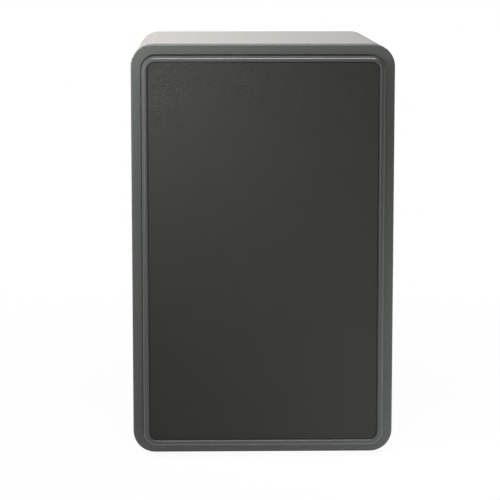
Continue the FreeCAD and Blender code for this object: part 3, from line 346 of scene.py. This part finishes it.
def cone_finish():
    """Glass-fibre cloth under a clear coat, woven square."""
    made = Finish("cone_fibre", Roughness=0.38, Coat_Weight=0.35, Coat_Roughness=0.22)
    across, along = made.place("X"), made.place("Z")
    one, two = maths(made.tree, "ADD", across, along), maths(made.tree, "SUBTRACT", across, along)
    # Painted shade: the dips of the weave are drawn at about a fifth of the thread colour.
    out = made.group("diagonal_weave", Thread=(0.050, 0.052, 0.056), Gap=(0.010, 0.010, 0.011),
                     Across=one, Along=two, Pitch=0.0075, Fray=0.12)
    made.link(Base_Color=out["Colour"])
    made.bump(out["Height"], 0.00008, 0.7)
    return made.material


def silk_finish():
    made = Finish("coated_silk", Roughness=0.62, Sheen_Weight=0.25, Sheen_Roughness=0.4)
    # Painted shade: the dips of the weave are drawn at little over a third of the thread colour.
    out = made.group("diagonal_weave", Thread=(0.032, 0.032, 0.036), Gap=(0.012, 0.012, 0.014),
                     Across=made.place("X"), Along=made.place("Z"), Pitch=0.0009, Fray=0.15)
    made.link(Base_Color=out["Colour"])
    made.bump(out["Height"], 0.00003, 0.7)
    return made.material


def spider_finish():
    made = Finish("stiffened_cloth", Roughness=0.85, Sheen_Weight=0.1)
    # Painted shade: the dips of the weave are drawn at about half the thread colour, darker brown between the threads.
    out = made.group("diagonal_weave", Thread=(0.62, 0.42, 0.17), Gap=(0.30, 0.17, 0.06),
                     Across=made.place("X"), Along=made.place("Z"), Pitch=0.0016, Fray=0.25)
    made.link(Base_Color=out["Colour"])
    made.bump(out["Height"], 0.00008, 0.8)
    return made.material


def wire_finish():
    made = Finish("enamelled_copper", Metallic=0.85, Roughness=0.3)
    place = made.place()
    layers = maths(made.tree, "ADD", made.place("Y"), maths(made.tree, "MULTIPLY", made.place("Z"), 0.05))
    # Painted shade: the dark Shade colour is drawn in the grooves between the turns of wire.
    out = made.group("wire_turns", Wire=(0.78, 0.36, 0.17), Shade=(0.20, 0.07, 0.03), Position=layers, Pitch=0.0009)
    tint = put(made.tree, "ShaderNodeTexNoise", Vector=place, Scale=160.0, Detail=2.0).outputs[0]
    made.link(Base_Color=out["Colour"], Roughness=between(made.tree, tint, 0.2, 0.8, 0.24, 0.40))
    made.bump(out["Height"], 0.0002, 0.8)
    return made.material


def wool_finish():
    made = Finish("polyester_wool", Roughness=1.0, Sheen_Weight=0.35, Sheen_Roughness=0.7)
    place = made.place()
    drawn = put(made.tree, "ShaderNodeVectorMath", {"operation": "MULTIPLY"}, i0=place, i1=(1.0, 0.35, 1.0)).outputs[0]
    strands = put(made.tree, "ShaderNodeTexNoise", Vector=drawn, Scale=420.0, Detail=8.0, Roughness=0.75,
                  Distortion=1.6).outputs[0]
    tufts = put(made.tree, "ShaderNodeTexNoise", Vector=place, Scale=55.0, Detail=4.0).outputs[0]
    # Painted shade: the wool's colour darkens from (0.82, 0.81, 0.77) towards (0.42, 0.41, 0.38) in the hollows between
    # strands and between tufts; the same strands also drive the bump.
    depth = maths(made.tree, "MULTIPLY", between(made.tree, strands, 0.3, 0.7), between(made.tree, tufts, 0.2, 0.7, 0.5, 1.0))
    made.link(Base_Color=mixed(made.tree, depth, (0.42, 0.41, 0.38), (0.82, 0.81, 0.77)))
    made.bump(strands, 0.0016, 0.9)
    return made.material


def board_finish():
    made = Finish("phenolic_board", Roughness=0.36, Coat_Weight=0.3, Coat_Roughness=0.3)
    out = made.group("fine_grain", Colour=(0.30, 0.20, 0.085), Size=0.0012, Cloud=0.2, Speckle=0.25,
                     Roughness=0.4, Uneven=0.1)
    made.link(Base_Color=out["Colour"], Roughness=out["Roughness"])
    made.bump(out["Height"], 0.00002)
    return made.material


def film_finish():
    """Yellow film wrap with fine wrinkles."""
    made = Finish("film_wrap", Coat_Weight=0.5, Coat_Roughness=0.15)
    out = made.group("fine_grain", Colour=(0.62, 0.36, 0.03), Size=0.002, Cloud=0.1, Speckle=0.08,
                     Roughness=0.32, Uneven=0.12)
    wrinkle = put(made.tree, "ShaderNodeTexNoise", Vector=made.place(), Scale=240.0, Detail=3.0, Distortion=2.0).outputs[0]
    made.link(Base_Color=out["Colour"], Roughness=out["Roughness"])
    made.bump(wrinkle, 0.0001, 0.6)
    return made.material


def lead_finish():
    """Soft dark red sleeve of the hook-up leads."""
    made = Finish("lead_sleeve", Specular_IOR_Level=0.4)
    out = made.group("fine_grain", Colour=(0.16, 0.012, 0.012), Size=0.001, Cloud=0.1, Speckle=0.06,
                     Roughness=0.45, Uneven=0.1)
    made.link(Base_Color=out["Colour"], Roughness=out["Roughness"])
    made.bump(out["Height"], 0.00002)
    return made.material


def clear_knob_finish(name, colour):
    """Cast resin over a metal core: a deep colour under gloss with faint swirl."""
    made = Finish(name, Coat_Weight=0.8, Coat_Roughness=0.06, Subsurface_Weight=0.05)
    out = made.group("fine_grain", Colour=colour, Size=0.003, Cloud=0.25, Speckle=0.05, Roughness=0.24, Uneven=0.06)
    made.link(Base_Color=out["Colour"], Roughness=out["Roughness"])
    made.bump(out["Height"], 0.000006)
    return made.material


def lacquer_finish():
    """Cabinet lacquer: dark, smooth, with a low clear gloss and the faintest ripple."""
    made = Finish("cabinet_lacquer", Coat_Weight=0.8, Coat_Roughness=0.1, Coat_IOR=1.5, IOR=1.5)
    out = made.group("fine_grain", Colour=tuple(colours().lacquer), Size=0.0016, Cloud=0.06, Speckle=0.05,
                     Roughness=0.26, Uneven=0.06)
    dusty = made.group("settled_dust", Amount=0.02, Dust=(0.40, 0.38, 0.36))
    made.tree.links.new(out["Colour"], dusty["Colour"].node.inputs["Colour"])
    made.link(Base_Color=dusty["Colour"], Roughness=out["Roughness"])
    made.bump(out["Height"], 0.0000006)
    return made.material


def board_edge_finish():
    """Fibreboard stained black, with pressed fibres showing."""
    made = Finish("stained_fibreboard", Specular_IOR_Level=0.35)
    out = made.group("fine_grain", Colour=(0.034, 0.031, 0.029), Size=0.0011, Cloud=0.25, Speckle=0.5,
                     Roughness=0.72, Uneven=0.12)
    made.link(Base_Color=out["Colour"], Roughness=out["Roughness"])
    made.bump(out["Height"], 0.00008)
    return made.material


finishes = {}


# ---------------------------------------------------------------- modelling helpers
def start_clean():
    if bpy.context.object and bpy.context.object.mode != "OBJECT":
        bpy.ops.object.mode_set(mode="OBJECT")
    bpy.ops.object.select_all(action="DESELECT")


def named(name):
    made = bpy.context.object
    made.name = name
    made.data.name = name
    return made


def edit():
    bpy.ops.object.mode_set(mode="EDIT")


def leave_edit():
    bpy.ops.object.mode_set(mode="OBJECT")


def pick(test, domain="VERT"):
    """Selects the vertices, edges or faces that pass the test, and nothing else; starts and ends in edit mode."""
    bpy.ops.mesh.select_mode(type=domain)
    bpy.ops.mesh.select_all(action="DESELECT")
    leave_edit()
    mesh = bpy.context.object.data
    parts = {"VERT": mesh.vertices, "EDGE": mesh.edges, "FACE": mesh.polygons}[domain]
    for part in parts:
        part.select = bool(test(part))
    edit()


def settle(made, slot, body=None):
    """Applies what is left of the object's place, gives it its slot's finish, and puts it on its body."""
    leave_edit() if made.mode == "EDIT" else None
    start_clean()
    made.select_set(True)
    bpy.context.view_layer.objects.active = made
    bpy.ops.object.transform_apply(location=True, rotation=True, scale=True)
    bpy.ops.object.shade_smooth_by_angle(angle=math.radians(40))
    made.data.materials.clear()
    made.data.materials.append(finishes[slot])
    if body:
        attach(made, body)
    return made


def apply_modifier(made, kind, **settings):
    modifier = made.modifiers.new(kind.lower(), kind)
    for key, value in settings.items():
        setattr(modifier, key, value)
    bpy.ops.object.modifier_apply(modifier=modifier.name)


def radial_blend(made):
    """Bakes the piece's place into its mesh; nothing here bends it between two bodies."""
    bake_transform(made)


def spin_profile(centre, steps):
    """Turns the selected profile right round the driver's axis, which runs along Y."""
    bpy.ops.mesh.select_all(action="SELECT")
    bpy.ops.mesh.spin(steps=steps, angle=math.tau, center=centre, axis=(0, 1, 0))
    bpy.ops.mesh.select_all(action="SELECT")
    bpy.ops.mesh.remove_doubles(threshold=0.00002)
    bpy.ops.mesh.normals_make_consistent(inside=False)


# ---------------------------------------------------------------- pieces
class SPEAKER_OT_grille_cloth(bpy.types.Operator):
    """Stretches the woven cloth over the front of the grille's frame"""
    bl_idname = "speaker.grille_cloth"
    bl_label = "Grille cloth"

    def execute(self, context):
        start_clean()
        low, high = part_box("grille_cloth")
        tuck = sizes().cloth_tuck
        wide, tall = high.x - low.x - 0.0002, high.z - low.z - 0.0002
        middle = (low + high) / 2
        bpy.ops.mesh.primitive_plane_add(size=1, location=(middle.x, low.y, middle.z), rotation=(math.pi / 2, 0, 0))
        made = named("grille_cloth_woven")
        bpy.ops.object.transform_apply(location=True, rotation=True, scale=True)
        edit()
        bpy.ops.transform.resize(value=(wide, 1, tall), center_override=(middle.x, low.y, middle.z))
        bpy.ops.mesh.bevel(offset=0.0063, segments=10, affect="VERTICES")
        bpy.ops.mesh.select_all(action="SELECT")
        bpy.ops.mesh.inset(thickness=tuck, depth=0)
        leave_edit()
        rim = [e for e in made.data.edges if self.on_rim(made.data, e)]
        for part in (made.data.vertices, made.data.edges, made.data.polygons):
            for item in part:
                item.select = False
        for edge in rim:
            edge.select = True
            for index in edge.vertices:
                made.data.vertices[index].select = True
        edit()
        bpy.ops.transform.translate(value=(0, tuck, 0))
        leave_edit()
        apply_modifier(made, "SOLIDIFY", thickness=0.0004, offset=-1)
        settle(made, "grille_cloth", "grille")
        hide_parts("grille_cloth")
        return {"FINISHED"}

    @staticmethod
    def on_rim(mesh, edge):
        key = tuple(sorted(edge.vertices))
        return sum(key in [tuple(sorted(k)) for k in face.edge_keys] for face in mesh.polygons) == 1


class SPEAKER_OT_woofer_surround(bpy.types.Operator):
    """Rolls the woofer's rubber surround from the basket's seat to the edge of the cone"""
    bl_idname = "speaker.woofer_surround"
    bl_label = "Woofer surround"

    def execute(self, context):
        start_clean()
        low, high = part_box("woofer_surround")
        outside, inside = (high.x - low.x) / 2, CONE_EDGE - 0.0038
        wall, roll = sizes().rubber_wall, sizes().roll_radius
        radius = roll - wall / 2
        middle = CONE_EDGE + roll
        roll_in, roll_out = middle - radius, middle + radius
        base_y = low.y + roll + wall / 2
        centre = (WOOFER_AXIS.x, base_y, WOOFER_AXIS.z)
        bpy.ops.mesh.primitive_circle_add(vertices=48, radius=radius, location=(centre[0] + middle, base_y, centre[2]))
        made = named("woofer_surround_roll")
        bpy.ops.object.transform_apply(location=True, rotation=True, scale=True)
        edit()
        bpy.ops.mesh.select_all(action="SELECT")
        bpy.ops.mesh.bisect(plane_co=(0, base_y, 0), plane_no=(0, 1, 0), clear_outer=True, threshold=0.00001)
        for at, to in ((centre[0] + roll_out, outside), (centre[0] + roll_in, inside)):
            pick(lambda v, at=at: abs(v.co.x - at) < 0.0002 and v.co.y > base_y - 0.0002)
            bpy.ops.mesh.extrude_region_move(TRANSFORM_OT_translate={"value": (centre[0] + to - at, 0, 0)})
        spin_profile(centre, 128)
        leave_edit()
        apply_modifier(made, "SOLIDIFY", thickness=wall, offset=0)
        settle(made, "soft_rubber")
        radial_blend(made)
        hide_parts("woofer_surround")
        return {"FINISHED"}


class SPEAKER_OT_spider(bpy.types.Operator):
    """Presses the woofer's corrugated spider between the basket and the coil former"""
    bl_idname = "speaker.spider"
    bl_label = "Spider"

    def execute(self, context):
        start_clean()
        low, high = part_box("woofer_spider")
        outside, inside = (high.x - low.x) / 2, FORMER_OUTSIDE
        middle_y, wave = high.y - 0.0003, high.y - low.y - 0.0006
        land = 0.004
        count = sizes().spider_waves * 8
        length = outside - inside - 2 * land
        centre = (WOOFER_AXIS.x, middle_y, WOOFER_AXIS.z)
        bpy.ops.mesh.primitive_grid_add(x_subdivisions=count, y_subdivisions=1, size=1,
                                        location=(centre[0] + (inside + outside) / 2, middle_y, centre[2]))
        made = named("woofer_spider_rolls")
        bpy.ops.object.transform_apply(location=True, rotation=True, scale=True)
        edit()
        pick(lambda v: v.co.y < middle_y)
        bpy.ops.mesh.delete(type="VERT")
        bpy.ops.mesh.select_all(action="SELECT")
        bpy.ops.transform.translate(value=(0, -0.5, 0))
        bpy.ops.transform.resize(value=(length, 1, 1), center_override=(centre[0] + (inside + outside) / 2, middle_y, centre[2]))
        first = centre[0] + inside + land
        for step in range(1, count):
            lift = -wave * math.sin(math.pi * step * sizes().spider_waves / count) ** 2
            at = first + length * step / count
            if abs(lift) < 1e-6:
                continue
            pick(lambda v, at=at: abs(v.co.x - at) < length / count / 3)
            bpy.ops.transform.translate(value=(0, lift, 0))
        for at, to in ((first + length, land), (first, -land)):
            pick(lambda v, at=at: abs(v.co.x - at) < length / count / 3)
            bpy.ops.mesh.extrude_region_move(TRANSFORM_OT_translate={"value": (to, 0, 0)})
        spin_profile(centre, 96)
        leave_edit()
        apply_modifier(made, "SOLIDIFY", thickness=0.0005, offset=0)
        settle(made, "spider_cloth")
        radial_blend(made)
        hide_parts("woofer_spider")
        return {"FINISHED"}


class SPEAKER_OT_tweeter_surround(bpy.types.Operator):
    """Rolls the tweeter's small silk surround round its dome"""
    bl_idname = "speaker.tweeter_surround"
    bl_label = "Tweeter surround"

    def execute(self, context):
        start_clean()
        low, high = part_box("tweeter_surround")
        dome_low, dome_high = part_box("tweeter_dome")
        outside, inside = (high.x - low.x) / 2, (dome_high.x - dome_low.x) / 2
        land = 0.0008
        radius = (outside - land - inside) / 2
        middle = (outside - land + inside) / 2
        rise = min(radius, high.y - low.y - 0.0003)
        base_y = low.y + rise
        centre = (TWEETER_AXIS.x, base_y, TWEETER_AXIS.z)
        bpy.ops.mesh.primitive_circle_add(vertices=28, radius=radius,
                                          location=(centre[0] + middle, base_y, centre[2]))
        made = named("tweeter_surround_roll")
        bpy.ops.object.transform_apply(location=True, rotation=True, scale=True)
        edit()
        bpy.ops.mesh.select_all(action="SELECT")
        bpy.ops.mesh.bisect(plane_co=(0, base_y, 0), plane_no=(0, 1, 0), clear_outer=True, threshold=0.00001)
        bpy.ops.mesh.select_all(action="SELECT")
        squeeze = rise / radius
        bpy.ops.transform.resize(value=(1, squeeze, 1), center_override=(centre[0] + middle, base_y, centre[2]))
        edge = centre[0] + outside - land
        pick(lambda v: abs(v.co.x - edge) < 0.0002 and v.co.y > base_y - 0.0001)
        bpy.ops.mesh.extrude_region_move(TRANSFORM_OT_translate={"value": (land, 0, 0)})
        spin_profile(centre, 96)
        leave_edit()
        apply_modifier(made, "SOLIDIFY", thickness=0.00025, offset=0)
        settle(made, "silk")
        radial_blend(made)
        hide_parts("tweeter_surround")
        return {"FINISHED"}


class SPEAKER_OT_damping_wool(bpy.types.Operator):
    """Lays soft, uneven batts of polyester wool along the cabinet's walls"""
    bl_idname = "speaker.damping_wool"
    bl_label = "Damping wool"

    def execute(self, context):
        pieces = self.loose_boxes(frame["nodes"]["damping_wool"])
        for index, (low, high) in enumerate(pieces):
            self.batt(index, Vector(low), Vector(high))
        start_clean()
        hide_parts("damping_wool")
        return {"FINISHED"}

    @staticmethod
    def loose_boxes(node):
        """The box of each separate solid of a node, from a merged copy of its mesh."""
        start_clean()
        copy = node.copy()
        copy.data = node.data.copy()
        copy.parent = None
        for key in list(copy.keys()):
            del copy[key]
        bpy.context.scene.collection.objects.link(copy)
        copy.select_set(True)
        bpy.context.view_layer.objects.active = copy
        edit()
        bpy.ops.mesh.select_all(action="SELECT")
        bpy.ops.mesh.remove_doubles(threshold=0.00001)
        bpy.ops.mesh.separate(type="LOOSE")
        leave_edit()
        found = []
        for part in list(bpy.context.selected_objects):
            spots = np.array([v.co for v in part.data.vertices], float).reshape(-1, 3)
            found.append((spots.min(0), spots.max(0)))
            bpy.data.objects.remove(part)
        return sorted(found, key=lambda pair: tuple(pair[0]))

    def batt(self, index, low, high):
        start_clean()
        middle, size = (low + high) / 2, high - low
        bpy.ops.mesh.primitive_cube_add(size=1, location=middle)
        made = named(f"wool_batt_{index + 1}")
        bpy.ops.object.transform_apply(location=True, rotation=True, scale=True)
        edit()
        bpy.ops.mesh.select_all(action="SELECT")
        bpy.ops.transform.resize(value=(size.x - 0.003, size.y - 0.003, size.z - 0.003), center_override=middle)
        bpy.ops.mesh.bevel(offset=min(size) * 0.3, segments=3, affect="EDGES")
        leave_edit()
        apply_modifier(made, "REMESH", mode="VOXEL", voxel_size=0.0032)
        tufts = bpy.data.textures.new(f"tufts_{index + 1}", "CLOUDS")
        tufts.noise_scale = 0.012
        tufts.noise_depth = 3
        apply_modifier(made, "DISPLACE", texture=tufts, texture_coords="LOCAL", strength=0.003, mid_level=0.5)
        spots = np.array([v.co for v in made.data.vertices], float).reshape(-1, 3)
        held = np.clip(spots, np.array(low) + 0.0001, np.array(high) - 0.0001)
        made.data.vertices.foreach_set("co", held.ravel().astype(np.float32))
        made.data.update()
        settle(made, "wool", "enclosure")
        return made


class SPEAKER_OT_finishes(bpy.types.Operator):
    """Builds every finish and gives each carried-over CAD node its own"""
    bl_idname = "speaker.finishes"
    bl_label = "Finishes"

    def execute(self, context):
        for plain in list(bpy.data.materials):
            bpy.data.materials.remove(plain)
        for build in (grain_group, dust_group, weave_group, winding_group, stroke_group):
            build()
        tone = colours()
        finishes.update({
            "cabinet_lacquer": lacquer_finish(),
            "baffle_paint": grained("baffle_paint", tone.paint, 0.5, 0.0007, 0.000004, cloud=0.03, speckle=0.06,
                                    uneven=0.05, Specular_IOR_Level=0.25, Coat_Weight=0.7, Coat_Roughness=0.14),
            "bare_board": board_edge_finish(),
            "grille_plastic": grained("grille_moulding", tone.moulding, 0.45, 0.0006, 0.000004, cloud=0.03,
                                      speckle=0.05, uneven=0.05, Specular_IOR_Level=0.15, Coat_Weight=0.9,
                                      Coat_Roughness=0.2),
            "grille_cloth": grille_cloth_finish(),
            "soft_rubber": grained("surround_rubber", (0.022, 0.022, 0.023), 0.55, 0.0012, 0.00001, dust=0.05,
                                    Specular_IOR_Level=0.3),
            "cast_basket": grained("powder_coat", (0.045, 0.045, 0.047), 0.5, 0.0008, 0.00004, speckle=0.2, Metallic=0.3,
                                    Specular_IOR_Level=0.35),
            "cone": cone_finish(),
            "dust_cap": grained("dust_cap_moulding", (0.028, 0.028, 0.030), 0.2, 0.002, 0.000003, Coat_Weight=0.5,
                                Coat_Roughness=0.1),
            "coil_former": metal("rolled_former", (0.72, 0.70, 0.66), 0.32, (0.2, 4, 0.2)),
            "copper_wire": wire_finish(),
            "spider_cloth": spider_finish(),
            "plated_steel": metal("zinc_plate", (0.60, 0.60, 0.58), 0.34, (1, 0.2, 1), depth=0.2),
            "ferrite": grained("ground_ferrite", (0.050, 0.050, 0.054), 0.62, 0.0005, 0.00003, speckle=0.3, Metallic=0.25),
            "terminal_tags": metal("tinned_tags", (0.74, 0.70, 0.60), 0.36),
            "black_screws": metal("black_oxide", (0.035, 0.035, 0.037), 0.38, depth=0.1, metallic=0.9),
            "faceplate": grained("faceplate_moulding", (0.032, 0.033, 0.034), 0.46, 0.0008, 0.00002, speckle=0.1,
                                  Specular_IOR_Level=0.3),
            "silk": silk_finish(),
            "moulded_black": grained("textured_moulding", (0.028, 0.028, 0.029), 0.52, 0.0009, 0.00005, speckle=0.15,
                                     dust=0.06),
            "gold_plate": metal("gold_plating", (0.90, 0.66, 0.28), 0.16, (1, 6, 1), depth=0.08, bump=0.000002),
            "insert_brass": metal("plain_brass", (0.74, 0.60, 0.32), 0.3, (1, 6, 1)),
            "red_knob": clear_knob_finish("red_resin", (0.42, 0.012, 0.014)),
            "black_knob": clear_knob_finish("black_resin", (0.016, 0.016, 0.017)),
            "circuit_board": board_finish(),
            "board_parts": film_finish(),
            "ceramic": grained("cement_body", (0.70, 0.68, 0.62), 0.85, 0.0009, 0.00006, speckle=0.15, cloud=0.1),
            "standoff_nylon": grained("nylon", (0.72, 0.71, 0.66), 0.4, 0.002, 0.00001, Subsurface_Weight=0.1),
            "wool": wool_finish(),
            "lead_sleeve": lead_finish(),
        })
        for row in frame["record"]["subparts"]:
            node = frame["nodes"][row["node"]]
            node.data.materials.clear()
            node.data.materials.append(finishes[row["material_slot"]])
        return {"FINISHED"}


# ---------------------------------------------------------------- stage
def area_lamp(name, place, target, size, power, spread=180, in_gloss=True):
    lamp = bpy.data.lights.new(name, "AREA")
    lamp.shape = "RECTANGLE"
    lamp.size, lamp.size_y = size
    lamp.energy = power
    lamp.spread = math.radians(spread)
    made = bpy.data.objects.new(name, lamp)
    bpy.context.scene.collection.objects.link(made)
    made.location = place
    made.rotation_euler = (Vector(target) - Vector(place)).to_track_quat("-Z", "Y").to_euler()
    made.visible_camera = False
    made.visible_glossy = in_gloss
    return made


class SPEAKER_OT_stage(bpy.types.Operator):
    """Sets the pale floor, the backdrop, the soft lights and the camera"""
    bl_idname = "speaker.stage"
    bl_label = "Stage"

    def execute(self, context):
        start_clean()
        self.floor()
        self.sky()
        area_lamp("key", (-1.0, -1.15, 0.36), (-0.05, -0.14, 0.36), (0.2, 0.7), 3.2)
        area_lamp("overhead", (0.1, -0.95, 1.35), (0.02, -0.14, 0.25), (0.9, 0.22), 18)
        area_lamp("corner", (-0.34, -0.40, 0.44), (-0.10, -0.14, 0.32), (0.10, 0.10), 0.9, 70, in_gloss=False)
        area_lamp("low", (0.42, -0.42, 0.05), (0.09, -0.14, 0.03), (0.10, 0.06), 0.45, 70, in_gloss=False)
        area_lamp("front_strip", (0.0, -3.2, 0.42), (0, -0.14, 0.3), (3.0, 0.5), 3)
        area_lamp("rear", (0.3, 1.6, 1.2), (0, 0.1, 0.2), (1.2, 1.0), 4)
        self.camera()
        return {"FINISHED"}

    @staticmethod
    def seen_directly(tree):
        """1 for camera, glossy and transmission rays, which see the white backdrop, and 0 for the light it sheds."""
        path = tree.nodes.new("ShaderNodeLightPath")
        mirrored = maths(tree, "MAXIMUM", path.outputs["Is Glossy Ray"], path.outputs["Is Transmission Ray"])
        return maths(tree, "MAXIMUM", path.outputs["Is Camera Ray"], mirrored)

    def floor(self):
        bpy.ops.mesh.primitive_plane_add(size=12, location=(0, 0, 0))
        made = named("floor")
        edit()
        bpy.ops.mesh.subdivide(number_cuts=3)
        leave_edit()
        surface = Finish("pale_floor", Roughness=0.9, Specular_IOR_Level=0.2)
        out = surface.group("fine_grain", Colour=tuple(colours().backdrop), Size=0.01, Cloud=0.01, Speckle=0.01,
                            Roughness=0.9, Uneven=0.02)
        surface.link(Base_Color=out["Colour"])
        tree = surface.tree
        seen = self.seen_directly(tree)
        glow = put(tree, "ShaderNodeEmission", Strength=1.0, Color=(1, 1, 1)).outputs[0]
        along = put(tree, "ShaderNodeSeparateXYZ", Vector=tree.nodes.new("ShaderNodeTexCoord").outputs["Object"])
        sweep = between(tree, along.outputs[1], -1.1, -0.45, 0.15, 0.6)
        reach = put(tree, "ShaderNodeVectorMath", {"operation": "LENGTH"}, i0=along.inputs[0].links[0].from_socket)
        near = between(tree, reach.outputs["Value"], 0.2, 0.75, 0.95, 1.0)
        shown = maths(tree, "MULTIPLY", tree.nodes.new("ShaderNodeLightPath").outputs["Is Camera Ray"], near)
        share = maths(tree, "MULTIPLY", seen, maths(tree, "MAXIMUM", shown, sweep))
        both = put(tree, "ShaderNodeMixShader", i0=share, i1=surface.shader.outputs[0], i2=glow).outputs[0]
        tree.links.new(both, tree.nodes["Material Output"].inputs["Surface"])
        made.data.materials.append(surface.material)

    def sky(self):
        world = bpy.data.worlds.new("studio")
        bpy.context.scene.world = world
        world.use_nodes = True
        tree = world.node_tree
        back = tree.nodes["Background"]
        seen = self.seen_directly(tree)
        way = put(tree, "ShaderNodeSeparateXYZ", Vector=tree.nodes.new("ShaderNodeTexCoord").outputs["Generated"])
        across = between(tree, way.outputs[0], -0.04, 0.10, 0.84, 0.50)
        shown = tree.nodes.new("ShaderNodeLightPath").outputs["Is Camera Ray"]
        white = maths(tree, "MAXIMUM", shown, across)
        tree.links.new(mixed(tree, shown, (1.0, 0.952, 0.918), (1.0, 1.0, 1.0)), back.inputs["Color"])
        mix = put(tree, "ShaderNodeMix", i0=seen, i2=0.42, i3=white).outputs[0]
        tree.links.new(mix, back.inputs["Strength"])

    def camera(self):
        lens = bpy.data.cameras.new("camera")
        made = bpy.data.objects.new("camera", lens)
        bpy.context.scene.collection.objects.link(made)
        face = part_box("front_baffle")[0]
        lens.sensor_width = 36
        lens.lens = 151.9
        made.location = (-0.0486, face.y - sizes().camera_distance, 0.4153)
        target = Vector((-0.0105, face.y, 0.1706))
        made.rotation_mode = "QUATERNION"
        made.rotation_quaternion = (target - made.location).to_track_quat("-Z", "Y")
        lens.clip_end = 60
        bpy.context.scene.camera = made
        bpy.context.scene.view_settings.view_transform = "Standard"


class SPEAKER_PT_panel(bpy.types.Panel):
    """Lists the speaker's pieces and settings"""
    bl_idname = "SPEAKER_PT_panel"
    bl_label = "Bookshelf speaker"
    bl_space_type = "VIEW_3D"
    bl_region_type = "UI"
    bl_category = "Speaker"

    def draw(self, context):
        for group in (context.scene.speaker_sizes, context.scene.speaker_colours):
            box = self.layout.box()
            for key in group.__annotations__:
                box.prop(group, key)
        for step in STEPS:
            self.layout.operator(step.bl_idname)


STEPS = (
    SPEAKER_OT_finishes, SPEAKER_OT_stage, SPEAKER_OT_grille_cloth, SPEAKER_OT_woofer_surround, SPEAKER_OT_spider,
    SPEAKER_OT_tweeter_surround, SPEAKER_OT_damping_wool,
)
CLASSES = (SpeakerSizes, SpeakerColours, *STEPS, SPEAKER_PT_panel)


def register():
    for item in CLASSES:
        bpy.utils.register_class(item)
    bpy.types.Scene.speaker_sizes = PointerProperty(type=SpeakerSizes)
    bpy.types.Scene.speaker_colours = PointerProperty(type=SpeakerColours)


def unregister():
    del bpy.types.Scene.speaker_colours
    del bpy.types.Scene.speaker_sizes
    for item in reversed(CLASSES):
        bpy.utils.unregister_class(item)


def main():
    register()
    for step in STEPS:
        area, action = step.bl_idname.split(".")
        result = getattr(getattr(bpy.ops, area), action)()
        if result != {"FINISHED"}:
            raise RuntimeError(f"{step.bl_label} didn't finish")


if __name__ == "__main__":
    main()
